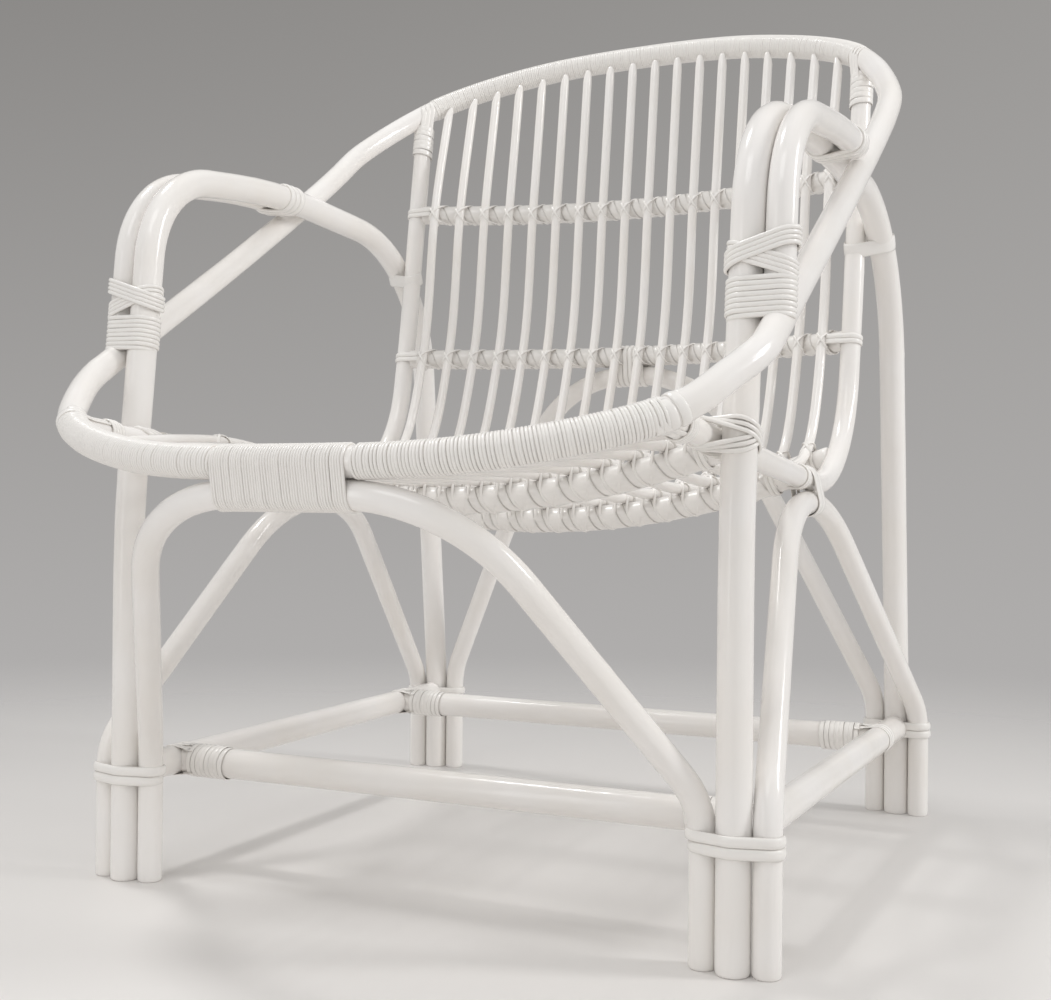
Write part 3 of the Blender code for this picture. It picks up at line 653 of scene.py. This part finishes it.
def strap(end, axis, mate_axis, piece_r, mate_r, tail, strips, width, thick):
    """Strips laid from one side of a cane's end round its mate and back along the other side."""
    sense = mate_axis.cross(axis).normalized()
    laid = []
    for j in range(strips):
        aside = (j - (strips - 1) / 2) * width * 1.04
        middle = end + mate_axis * aside
        rise = math.sqrt(max(0.25 * piece_r ** 2, piece_r ** 2 - aside ** 2))
        side = [(tail, rise - 0.0004), (0.6 * tail, rise), (mate_r + 0.004, max(rise, 0.8 * mate_r))]
        turn = [math.radians(a) for a in (75, 105, 135, 165, 195, 225, 255, 285)]
        flat = side + [(mate_r * math.cos(a), mate_r * math.sin(a)) for a in turn] + [(u, -v) for u, v in side[::-1]]
        points = smooth([middle + axis * u + sense * v for u, v in flat], 4)
        outs = []
        for p in points:
            reach = max(0.0, (p - middle).dot(axis))
            outs.append((p - middle - axis * reach).normalized())
        laid.append((points, outs, width, thick))
    return laid


# Side frames
arm_front = beside(ARM_FRONT_Y, ARM_FRONT_Z)
arm_rear = beside(ARM_REAR_Y, ARM_REAR_Z)
frame = rounded([
    beside(FRONT_FOOT_Y, 0),
    beside(FRONT_FOOT_Y, SHIN_Z),
    arm_front,
    arm_front.lerp(arm_rear, ARM_CROWN_SHARE) + Z_AXIS * ARM_CROWN_RISE,
    arm_rear,
    beside(REAR_FOOT_Y, REAR_KNEE_Z),
    beside(REAR_FOOT_Y, 0),
], [SHIN_R, ARM_FRONT_R, ARM_CROWN_R, ARM_REAR_R, REAR_KNEE_R])
canes("leg_and_arm_cane", frame, FRAME_D, "side_frame")


# Hoop that is the seat's front rim, the slanting sides and the top rail in one
def hoop_place(depth, height):
    """Depth and height at these shares of the hoop's own."""
    return RIM_Y + (TOP_Y - RIM_Y) * depth, RIM_Z + (TOP_Z - RIM_Z) * height


def hoop_corner(width, depth, height):
    """Point of the hoop at these shares of width, depth and height."""
    y, z = hoop_place(depth, height)
    return Vector((half_span(y) * width, y, z))


knots = [
    Vector((0, RIM_Y, RIM_Z)),
    *[hoop_corner(*shares) for shares in RIM_SHAPE],
    *[beside(*hoop_place(*shares), HOOP_OFFSET) for shares in SIDE_SHAPE],
    *[hoop_corner(*shares) for shares in TOP_SHAPE],
    Vector((0, TOP_Y, TOP_Z)),
]
hoop = smooth(knots + mirrored(knots[1:-1])[::-1], SPAN_STEPS, closed=True)
for p in hoop:
    limit = half_span(p.y) + HOOP_OFFSET
    p.x = max(-limit, min(limit, p.x))
half_hoop = hoop[:len(hoop) // 2 + 1]
HOOP_NORMAL = Vector((0, RIM_Z - TOP_Z, TOP_Y - RIM_Y)).normalized()
cane("hoop_cane", [*hoop, hoop[0]], HOOP_D, "rim_hoop", closed=True)


# Outer arm canes, beside the side frames from one hoop crossing to just before the other
def clear_of(radius, first, second):
    """Distance from a crossing with the hoop at which a cane's square end clears the hoop."""
    return (HOOP_D / 2 + 2 * FIT + radius * abs(first.dot(second))) / first.cross(second).length


low_cross, high_cross = meeting(frame, half_hoop)
arm_way = nearest(high_cross, frame)[1]
arm_stop = clear_of(ARM_D / 2, arm_way, nearest(high_cross, half_hoop)[1])
outer_arm = [p + X_AXIS * ARM_OFFSET for p in stretch_of(frame, low_cross, high_cross - arm_way * arm_stop)]
canes("outer_arm_cane", outer_arm, ARM_D, "outer_arm")

# Uprights with seat rails, inside the side frames, both ends on the hoop
rim_end, top_end = crossing(half_hoop, lambda p: p.x - half_span(p.y) + RAIL_OFFSET)
back_bend = beside(BACK_BEND_Y, BACK_BEND_Z, -RAIL_OFFSET)
corner = beside(SEAT_CORNER_Y, SEAT_CORNER_Z, -RAIL_OFFSET)
rail = rounded([top_end, back_bend, corner, rim_end], [BACK_BEND_R, SEAT_CORNER_R])
canes("upright_and_rail_cane", rail, RAIL_D, "side_rail")
leg_meets = meeting(rail, frame)
band_at = max(leg_meets, key=lambda p: p.z)
front_meet = min(leg_meets, key=lambda p: p.y)

# Bars across between the rails, dished down or bowed back
corner_out = (corner - rim_end).normalized() - (back_bend - corner).normalized()
corner_out = Vector((0, corner_out.y, corner_out.z)).normalized()
corner_way = (corner - back_bend).normalized() + (rim_end - corner).normalized()
corner_at = crossing(rail, lambda p: (p - corner).dot(corner_way))[0]
upper_z = band_at.z + (top_end.z - band_at.z) * UPPER_BAR_SHARE
bars = {
    "front_seat_bar": (crossing(rail, lambda p: p.y - FRONT_BAR_Y)[-1], -Z_AXIS * SEAT_DISH),
    "rear_seat_bar": (crossing(rail, lambda p: p.y - REAR_BAR_Y)[-1], -Z_AXIS * SEAT_DISH),
    "seat_back_bar": (corner_at, corner_out * CORNER_BOW),
    "lower_back_bar": (crossing(rail, lambda p: p.z - LOWER_BAR_Z)[0], Y_AXIS * BACK_BOW),
    "upper_back_bar": (crossing(rail, lambda p: p.z - upper_z)[0], Y_AXIS * BACK_BOW),
}
bar_paths = {}
for name, (end, bow) in bars.items():
    shares = [k / 30 - 1 for k in range(61)]
    reach = end.x - END_SEAT * RAIL_D
    bar_paths[name] = [Vector((reach * s, end.y, end.z)) + bow * (1 - s * s) for s in shares]
    cane(name + "_cane", bar_paths[name], BAR_D, name)


# Arches, their feet beside the leg posts and their crowns on what they carry
def foot(y, z, side, bearing):
    """Point of an arch's foot at this height, on one side of the right leg post."""
    return beside(y, z) + Vector((side * math.cos(bearing), math.sin(bearing), 0)) * BRACE_OFFSET


def arch(half, knee, crown):
    """Arch across the chair from the corners of its right half and its two bend radii."""
    turn = (half[-1] - half[-2]).angle(-X_AXIS)
    crown = min(crown, 0.95 * half[-1].x / math.tan(turn / 2))
    return rounded(half + mirrored(half)[::-1], [knee, crown, crown, knee])


front_arch = arch([
    *[foot(FRONT_FOOT_Y, h, -1, FOOT_BEARING) for h in (0, FRONT_KNEE_Z)],
    Vector((FRONT_CROWN_X, RIM_Y + FRONT_CROWN_DROP * math.sin(CROWN_TILT),
            RIM_Z - FRONT_CROWN_DROP * math.cos(CROWN_TILT))),
], KNEE_R, FRONT_CROWN_R)
back_bar = bar_paths["lower_back_bar"]
under_bar = back_bar[len(back_bar) // 2] - Z_AXIS * BACK_CROWN_DROP
back_arch = arch([
    *[foot(REAR_FOOT_Y, h, -1, FOOT_BEARING) for h in (0, BACK_KNEE_Z)],
    Vector((BACK_CROWN_X, under_bar.y, under_bar.z)),
], KNEE_R, BACK_CROWN_R)
side_arch = rounded([
    foot(FRONT_FOOT_Y, 0, 1, FOOT_BEARING),
    foot(FRONT_FOOT_Y, SIDE_FRONT_KNEE_Z, 1, FOOT_BEARING),
    beside(SIDE_CROWN_Y, SIDE_CROWN_Z, -RAIL_OFFSET - SIDE_CROWN_IN),
    foot(REAR_FOOT_Y, SIDE_REAR_KNEE_Z, 1, -FOOT_BEARING),
    foot(REAR_FOOT_Y, 0, 1, -FOOT_BEARING),
], [SIDE_KNEE_R, SIDE_CROWN_R, SIDE_KNEE_R])
cane("front_arch_cane", front_arch, BRACE_D, "front_arch")
cane("back_arch_cane", back_arch, BRACE_D, "back_arch")
canes("side_arch_cane", side_arch, BRACE_D, "side_arch")

# Slats, laid over the seat bars and up in front of the back bars to the face of the top rail
BAR_REST = (BAR_D + SLAT_D) / 2 + FIT
slat_shares = [SLAT_SPREAD * (2 * i / (SLAT_COUNT - 1) - 1) for i in range(SLAT_COUNT)]
rim_line = mirrored(half_hoop[1:5 * SPAN_STEPS])[::-1] + half_hoop[:5 * SPAN_STEPS]
top_half = half_hoop[-4 * SPAN_STEPS:]
top_line = top_half + mirrored(top_half[:-1])[::-1]


def slat_line(share):
    """Path of the slat at this share of the room between the rails, with its rests on the bars."""
    def on_slat(y, z):
        return Vector((share * slat_room(y), y, z))

    def meets(path):
        return crossing(path, lambda p: p.x - share * slat_room(p.y))

    rim_at = min(meets(rim_line), key=lambda p: p.y)
    top_at = max(meets(top_line), key=lambda p: p.z)
    start = on_slat(rim_at.y, rim_at.z - SLAT_D / 2)
    stop = on_slat(top_at.y - TIP_AHEAD * WRAP_D / 2, top_at.z - TIP_BELOW * WRAP_D / 2)
    rests = []
    for path in bar_paths.values():
        axis = meets(path)[0]
        rests.append((axis, BAR_REST / abs(nearest(axis, path)[1].x)))
    leans = [-bow.normalized() for _, bow in bars.values()]
    for _ in range(4):
        line = [start, *[on_slat(*(axis + lean * rest).yz) for (axis, rest), lean in zip(rests, leans)], stop]
        for i in range(len(leans)):
            along = (line[i + 2] - line[i + 1]).normalized() + (line[i + 1] - line[i]).normalized()
            leans[i] = X_AXIS.cross(along).normalized()
    return smooth(line, SPAN_STEPS), [(axis, lean, rest) for (axis, rest), lean in zip(rests, leans)]


bar_rests = {name: [] for name in bars}
for i, share in enumerate(slat_shares):
    line, rests = slat_line(share)
    number = f"{i + 1:02d}"
    out = abs(share)
    tip = (TIP_L + TIP_L_MORE * out, TIP_SHARE - TIP_SHARE_LESS * out)
    cane("slat_cane_" + number, line, SLAT_D, "slat_" + number, SLAT_ENAMEL, "slat_paint", fine=4,
         ends=(None, tip), lean=-share * X_AXIS)
    for name, rest in zip(bars, rests):
        bar_rests[name].append(rest)

# Stretchers: one along each side between the feet, two across between those
side_path = [beside(FRONT_FOOT_Y + FRAME_D / 2, STRETCHER_Z), beside(REAR_FOOT_Y - FRAME_D / 2, STRETCHER_Z)]
canes("side_stretcher_cane", side_path, STRETCHER_D, "side_stretcher")
for name, y in (("front_stretcher", FRONT_STRETCHER_Y), ("back_stretcher", BACK_STRETCHER_Y)):
    end = half_span(y) - END_SEAT * STRETCHER_D
    across = [Vector((-end, y, STRETCHER_Z)), Vector((end, y, STRETCHER_Z))]
    cane(name + "_cane", across, STRETCHER_D, name)
    outer = half_span(y) - STRETCHER_D / 2 - WRAP_MARGIN
    inward = [Vector((outer, y, STRETCHER_Z)), Vector((outer - 0.1, y, STRETCHER_Z))]
    planes = planes_along(inward, 0, CROSS_TURN_W, CROSS_TURNS, 0.1)
    wrap = wind([(inward, STRETCHER_D + 2 * WRAP_T)], planes, Z_AXIS, CROSS_TURN_W, CROSS_TURN_T)
    peels(name + "_end_winding", [wrap], name + "_winding")
    mate = Vector((half_span(y), y, STRETCHER_Z))
    peels(name + "_end_strap", strap(mate, -X_AXIS, Y_AXIS, STRETCHER_D / 2, STRETCHER_D / 2, STRAP_L,
                                     CROSS_STRAPS, CROSS_STRAP_W, CROSS_STRAP_T))

# Fine winding along the rim, with two wider turns at its outer end
wrap_stop = rim_end.x + RAIL_D / 2 + WRAP_MARGIN
wrap_start = CENTRE_BIND_L / 2 + 0.002
start_at = crossing(half_hoop, lambda p: p.x - wrap_start)[0]
stop_at = crossing(half_hoop, lambda p: p.x - wrap_stop)[0]
rim_run = stretch_of(half_hoop, start_at, stop_at)
fine_turns = int((length(rim_run) - WIDE_TURNS * WIDE_PITCH) / RIM_PITCH)
longer_run = stretch_of(half_hoop, half_hoop[0], half_hoop[6 * SPAN_STEPS])
rim_offset = length(stretch_of(half_hoop, half_hoop[0], start_at))
rim_pole = [(longer_run, HOOP_D)]
planes = planes_along(longer_run, rim_offset, RIM_PITCH, fine_turns, 0.14)
strips = [wind(rim_pole, planes, HOOP_NORMAL, RIM_PITCH * CLOSE, RIM_PEEL_T, 18)]
planes = planes_along(longer_run, rim_offset + RIM_PITCH * fine_turns, WIDE_PITCH, WIDE_TURNS)
strips.append(wind(rim_pole, planes, HOOP_NORMAL, WIDE_PITCH * 0.95, RIM_PEEL_T, 24))
peels("rim_fine_winding", strips, "rim_winding")

# Fine winding along the top rail, between the uprights
top_stop = top_end.x - RAIL_D / 2 + WRAP_MARGIN
top_from = crossing(top_line, lambda p: p.x - top_stop)[0]
top_span = stretch_of(top_line, top_from, flipped(top_from))
top_turns = int(length(top_span) / TOP_PITCH)
top_offset = length(stretch_of(top_line, top_line[0], top_from))
planes = planes_along(top_line, top_offset, TOP_PITCH, top_turns, 0.07)
strip = wind([(top_line, HOOP_D)], planes, HOOP_NORMAL, TOP_PITCH, TOP_PEEL_T, 14)
peel("top_rail_fine_winding", [strip], "top_rail_winding")

# Binding of the rim to the front arch
rim_middle = [p for p in rim_line if abs(p.x) < 0.16]
arch_middle = [p for p in front_arch if abs(p.x) < 0.2 and p.z > 0.2]
bind_turns = round(CENTRE_BIND_L / BIND_PITCH)
bind_planes = []
for k in range(bind_turns + 1):
    x = -CENTRE_BIND_L / 2 + BIND_PITCH * (k + random.uniform(-0.15, 0.15))
    tilt = Vector((1, random.uniform(-0.02, 0.02), random.uniform(-0.015, 0.015))).normalized()
    bind_planes.append((Vector((x, RIM_Y, RIM_Z)), tilt))
bind_poles = [(rim_middle, HOOP_D), (arch_middle, BRACE_D)]
strip = wind(bind_poles, bind_planes, Z_AXIS, BIND_PITCH * CLOSE, BIND_PEEL_T, 36)
peel("rim_and_arch_binding", [strip], "rim_centre_binding")

# Foot bindings round each leg post and its two arches
for name, y, arch_path in (("front", FRONT_FOOT_Y, front_arch), ("rear", REAR_FOOT_Y, back_arch)):
    poles = [([q for q in path if abs(q.y - y) < 0.1 and q.x > 0.1 and q.z < 0.3], d)
             for path, d in ((frame, FRAME_D), (arch_path, BRACE_D), (side_arch, BRACE_D))]
    middle = beside(y, FOOT_BIND_Z + 0.85 * FOOT_STRIP_W)
    planes = planes_beside(middle, Z_AXIS, FOOT_STRIP_W * 1.03, FOOT_TURNS)
    strip = wind(poles, planes, Y_AXIS - X_AXIS, FOOT_STRIP_W, FOOT_STRIP_T, 48, level=0.8)
    peels(f"{name}_foot_binding", [strip], f"foot_binding_{name}")

# Arm bindings at the front: close turns above the hoop, crossed turns above those
leg_way = nearest(low_cross, frame)[1]
arm_from = low_cross + leg_way * 0.002
arm_poles = [(near(frame, low_cross), FRAME_D), (near(outer_arm, low_cross), ARM_D)]
planes = [(arm_from + leg_way * (ARM_STRIP_W * k), leg_way) for k in range(ARM_TURNS + 1)]
strips = [wind(arm_poles, planes, -X_AXIS, ARM_STRIP_W * CLOSE, ARM_STRIP_T, 40)]
cross_at = arm_from + leg_way * (ARM_STRIP_W * ARM_TURNS + ARM_CROSS_RISE)
for tilt, lift in ((ARM_CROSS_TILT, 0.0), (-ARM_CROSS_TILT, ARM_CROSS_LIFT)):
    way = Matrix.Rotation(math.radians(tilt), 3, "Y") @ leg_way
    for j in range(ARM_CROSSES):
        centre = cross_at + leg_way * ((j - (ARM_CROSSES - 1) / 2) * ARM_CROSS_W)
        strips.append(ring(arm_poles, centre, way, -X_AXIS, ARM_CROSS_W, ARM_CROSS_T, 40, lift))
peels("front_arm_binding", strips, "arm_binding")

# Bindings of the outer arms' ends to the side frames, just in front of the hoop
end_poles = [(near(frame, high_cross), FRAME_D), (near(outer_arm, high_cross), ARM_D)]
planes = []
for k in range(END_TURNS + 1):
    back = arm_stop + 0.001 + END_STRIP_W * (END_TURNS + 0.5 - k)
    planes.append((high_cross - arm_way * back, arm_way))
strip = wind(end_poles, planes, X_AXIS - Z_AXIS, END_STRIP_W * 0.95, END_STRIP_T, 40)
peels("outer_arm_end_binding", [strip], "hoop_binding")

# Flat bands just under the places where the uprights cross the rear legs
way = (nearest(band_at, rail)[1] + nearest(band_at, frame)[1]).normalized()
band_poles = [(near(rail, band_at), RAIL_D), (near(frame, band_at), FRAME_D)]
strip = ring(band_poles, band_at + way * BAND_DROP, way, -X_AXIS, BAND_H, BAND_T, 48)
peels("rear_leg_band", [strip], "leg_band")

# Straps that hold the uprights to the top rail, under collars of fine winding
up_way = nearest(top_end, rail)[1]
hoop_way = nearest(top_end, half_hoop)[1]
collar_from = clear_of(0.002, up_way, hoop_way)
peels("upright_strap", strap(top_end, up_way, hoop_way, RAIL_D / 2, HOOP_D / 2 + FIT, collar_from + 0.8 * COLLAR_L,
                             UPRIGHT_STRAPS, UPRIGHT_STRAP_W, UPRIGHT_STRAP_T))
collar_pitch = COLLAR_L / COLLAR_TURNS
planes = planes_along(rail, collar_from, collar_pitch, COLLAR_TURNS, 0.15)
strip = wind([(near(rail, top_end, 0.16), RAIL_D + STRAP_BED)], planes, Y_AXIS, collar_pitch, COLLAR_T)
peels("upright_top_collar", [strip], "upright_collar")

# Straps that hold the seat rails to the rim, with a short collar
back_rail = rail[::-1]
rim_way = nearest(rim_end, back_rail)[1]
hoop_way = nearest(rim_end, half_hoop)[1]
strips = strap(rim_end, rim_way, hoop_way, RAIL_D / 2, HOOP_D / 2 + FIT, RAIL_STRAP_L,
               RAIL_STRAPS, RAIL_STRAP_W, RAIL_STRAP_T)
planes = planes_along(back_rail, 0.75 * RAIL_STRAP_L, RAIL_TURN, RAIL_TURNS, 0.1)
strips.append(wind([(near(back_rail, rim_end), RAIL_D + STRAP_BED)], planes, Z_AXIS, RAIL_TURN_W, RAIL_TURN_T))
peels("seat_rail_strap", strips)

# Crossed lashings of the seat rails to the front legs
leg_dir = nearest(front_meet, frame)[1]
rail_dir = nearest(front_meet, back_rail)[1]
lash_poles = [(near(frame, front_meet), FRAME_D), (near(rail, front_meet), RAIL_D)]
lash_at = (nearest(front_meet, frame)[0] + front_meet) / 2
strips = []
for rise, lift in ((SEAT_LASH_RISE, 0.0), (-SEAT_LASH_RISE, SEAT_LASH_LIFT)):
    way = X_AXIS.cross(leg_dir * rise + rail_dir).normalized()
    for j in (-1, 0, 1):
        centre = lash_at + way * (j * SEAT_LASH_PITCH)
        strips.append(ring(lash_poles, centre, way, X_AXIS, SEAT_LASH_W, SEAT_LASH_T, 40, lift))
peels("seat_rail_lashing", strips)

# Ties of the side arches to the seat rails and of the back arch to the lower bar
crown = max(side_arch, key=lambda p: p.z)
tie_at, tie_way = nearest(crown, rail)
tie_poles = [(near(rail, crown), RAIL_D), (near(side_arch, crown), BRACE_D)]
tie_centre = (crown + tie_at) / 2
ahead = tie_centre - tie_way * SIDE_TIE_AHEAD
behind = tie_centre + tie_way * SIDE_BAND_BEHIND
way = (tie_way - Z_AXIS * SIDE_BAND_TILT).normalized()
peels("side_arch_tie", [
    ring(tie_poles, ahead, tie_way, X_AXIS, SIDE_TIE_W, SIDE_TIE_T, 40),
    ring(tie_poles, behind, way, X_AXIS, SIDE_BAND_W, SIDE_BAND_T, 40, SIDE_BAND_LIFT),
])
tie_poles = [([p for p in back_bar if abs(p.x) < 0.1], BAR_D), ([p for p in back_arch if abs(p.x) < 0.1], BRACE_D)]
planes = planes_beside(under_bar + Z_AXIS * 0.01, X_AXIS, BACK_TIE_PITCH, BACK_TIE_TURNS)
peel("back_arch_tie", [wind(tie_poles, planes, Z_AXIS, BACK_TIE_W, BACK_TIE_T, 36)])


# Lashings of the slats to the bars: one strip each way along a bar, crossing over every slat
def lashing(bar, rests, hand, drop):
    """Strip that goes round a bar once for each slat and crosses over the slat on the way, a little down the slat."""
    r, h = BAR_D / 2 + 0.0001, SLAT_D
    room = (rests[1][0] - rests[0][0]).length
    over = ((-0.80, -0.52, 0.0), (-0.44, -0.30, 0.43), (0, 0, 0.53), (0.44, 0.30, 0.43), (0.80, 0.52, 0.0))
    points = []
    for axis, lean, rest in rests:
        along = nearest(axis, bar)[1]
        face = (lean - along * lean.dot(along)).normalized()
        side = along.cross(face)

        def on_bar(angle, shift):
            a = math.radians(angle)
            return axis + along * (shift * room) + (face * math.cos(a) + side * math.sin(a) * hand) * r

        down = X_AXIS.cross(lean)
        points += [on_bar(angle, shift) for angle, shift in ((180, -0.5), (-125, -0.34), (-75, -0.23))]
        points += [axis + lean * (rest + up * h) + X_AXIS * (u * h) + down * (v * h * hand + drop) for v, u, up in over]
        points += [on_bar(angle, shift) for angle, shift in ((75, 0.23), (125, 0.34))]
    path = smooth(points, 3)
    outs = [(p - nearest(p, bar)[0]).normalized() for p in path]
    path = [p + o * (SLAT_LASH_LIFT if hand > 0 else 0.0) for p, o in zip(path, outs)]
    return path, outs, SLAT_LASH_W, SLAT_LASH_T


for name, bar in bar_paths.items():
    seat = name in ("front_seat_bar", "rear_seat_bar", "seat_back_bar")
    rests = bar_rests[name]
    strips = [lashing(bar, rests, hand, 0.0 if seat else SLAT_LASH_DROP) for hand in (1, -1)]
    # Broad peel round the bar between the slats, a narrow and a wide strip side by side
    pitch = (rests[1][0] - rests[0][0]).length
    turns = int(length(bar) / pitch) - 1
    skipped = (length(bar) - turns * pitch) / 2
    for shift, width in ((-0.34, 0.30), (0.16, 0.66)):
        planes = planes_along(bar, skipped + pitch * shift, pitch, turns)
        thick = SEAT_PEEL_T if seat else BACK_PEEL_T
        strips.append(wind([(bar, BAR_D)], planes, Z_AXIS, pitch * width * 0.93, thick, 20))
    # Ends of the bar bound, and all but the one in the seat's corner tied round the rails
    inward = [p for p in bar if p.x > 0][::-1]
    planes = planes_along(inward, 0.012, BAR_TURN, BAR_TURNS)
    tie = [wind([(inward, BAR_D + 0.002)], planes, Z_AXIS, BAR_TURN_W, BAR_TURN_T)]
    if name != "seat_back_bar":
        end = bars[name][0]
        tie += strap(end, -X_AXIS, nearest(end, rail)[1], BAR_D / 2, RAIL_D / 2 + 0.0002, STRAP_L,
                     BAR_STRAPS, BAR_STRAP_W, BAR_STRAP_T)
    peel(name + "_lashing", [*strips, *tie, *other_side(tie)])

# Floor, pale and fading into the studio's grey with distance
bpy.ops.object.select_all(action="DESELECT")
bpy.ops.mesh.primitive_circle_add(vertices=96, radius=4.0, fill_type="NGON", location=(0, 0, 0))
floor = bpy.context.object
floor.name = "studio_floor"
material, tree, shader = blank("pale_studio_floor")
shader.inputs["Base Color"].default_value = linear("#E1DEDB")
shader.inputs["Roughness"].default_value = 0.55
place = add(tree, "ShaderNodeTexCoord", {}).outputs["Object"]
radius = add(tree, "ShaderNodeVectorMath", {0: place, 1: (0.12, -0.45, 0)}, operation="DISTANCE").outputs["Value"]
fade = add(tree, "ShaderNodeMapRange", {
    "Value": radius, "From Min": 0.35, "From Max": 2.2}, interpolation_type="SMOOTHSTEP")
clear = add(tree, "ShaderNodeBsdfTransparent", {})
mixed = add(tree, "ShaderNodeMixShader", {0: fade.outputs[0], 1: shader.outputs[0], 2: clear.outputs[0]})
tree.links.new(mixed.outputs[0], tree.nodes["Material Output"].inputs["Surface"])
floor.data.materials.append(material)

# Studio: grey backdrop for the eye, soft even light for the chair
world = bpy.data.worlds.new("studio")
bpy.context.scene.world = world
world.use_nodes = True
tree = world.node_tree
tree.nodes.clear()
direction = add(tree, "ShaderNodeTexCoord", {}).outputs["Generated"]
height = add(tree, "ShaderNodeSeparateXYZ", {"Vector": direction}).outputs["Z"]
across = add(tree, "ShaderNodeVectorMath", {
    0: direction, 1: (0.905, 0.424, 0)}, operation="DOT_PRODUCT").outputs["Value"]
climb = add(tree, "ShaderNodeMapRange", {"Value": height, "From Min": -0.12, "From Max": 0.36}).outputs[0]
side = add(tree, "ShaderNodeMapRange", {"Value": across, "From Min": -0.36, "From Max": 0.36}).outputs[0]
high = add(tree, "ShaderNodeMix", {"Factor": side, "A": linear("#888684"), "B": linear("#9A9896")}, data_type="RGBA")
grey = add(tree, "ShaderNodeMix", {
    "Factor": climb, "A": linear("#B0AEAD"), "B": high.outputs["Result"]}, data_type="RGBA")
seen = add(tree, "ShaderNodeBackground", {"Color": grey.outputs["Result"], "Strength": 1.0})
lit = add(tree, "ShaderNodeBackground", {"Color": linear("#FFFFFF"), "Strength": 0.64})
path = add(tree, "ShaderNodeLightPath", {}).outputs
mirrored_in = add(tree, "ShaderNodeMath", {
    0: path["Is Glossy Ray"], 1: path["Is Transmission Ray"]}, operation="MAXIMUM").outputs[0]
shown = add(tree, "ShaderNodeMath", {0: path["Is Camera Ray"], 1: mirrored_in}, operation="MAXIMUM").outputs[0]
chosen = add(tree, "ShaderNodeMixShader", {0: shown, 1: lit.outputs[0], 2: seen.outputs[0]})
add(tree, "ShaderNodeOutputWorld", {"Surface": chosen.outputs[0]})


def lamp(name, place, target, size, power):
    """Softbox that faces a point."""
    data = bpy.data.lights.new(name, "AREA")
    data.shape = "RECTANGLE"
    data.size, data.size_y = size
    data.energy = power
    light = bpy.data.objects.new(name, data)
    light.location = place
    light.rotation_euler = (Vector(target) - Vector(place)).to_track_quat("-Z", "Y").to_euler()
    bpy.context.collection.objects.link(light)


lamp("left_softbox", (-1.5, 0.07, 3.7), (0, 0, 0.3), (0.5, 0.5), 35)
lamp("right_softbox", (2.4, 0.5, 1.7), (0, 0, 0.4), (0.4, 1.0), 25)
lamp("high_softbox", (0.1, -1.5, 2.3), (0, 0.3, 0.7), (1.0, 1.0), 8)
lamp("front_softbox", (-0.9, -2.3, 0.8), (0, 0.2, 0.5), (0.3, 1.6), 4)

# Camera at the photograph's viewpoint
CAMERA_AT = (0.52058, -1.09540, 0.31227)
CAMERA_AHEAD = Vector((-0.42440, 0.90547, 0.00347)).normalized()
CAMERA_RIGHT = Vector((0.90545, 0.42436, 0.00933)).normalized()
FOCAL_PX, IMAGE_W = 1370.27, 1051
lens = bpy.data.cameras.new("camera")
lens.sensor_width = 36
lens.lens = 36 * FOCAL_PX / IMAGE_W
camera = bpy.data.objects.new("camera", lens)
up = CAMERA_RIGHT.cross(CAMERA_AHEAD)
camera.matrix_world = Matrix.Translation(CAMERA_AT) @ Matrix((CAMERA_RIGHT, up, -CAMERA_AHEAD)).transposed().to_4x4()
bpy.context.collection.objects.link(camera)
bpy.context.scene.camera = camera
bpy.context.scene.view_settings.view_transform = "Standard"
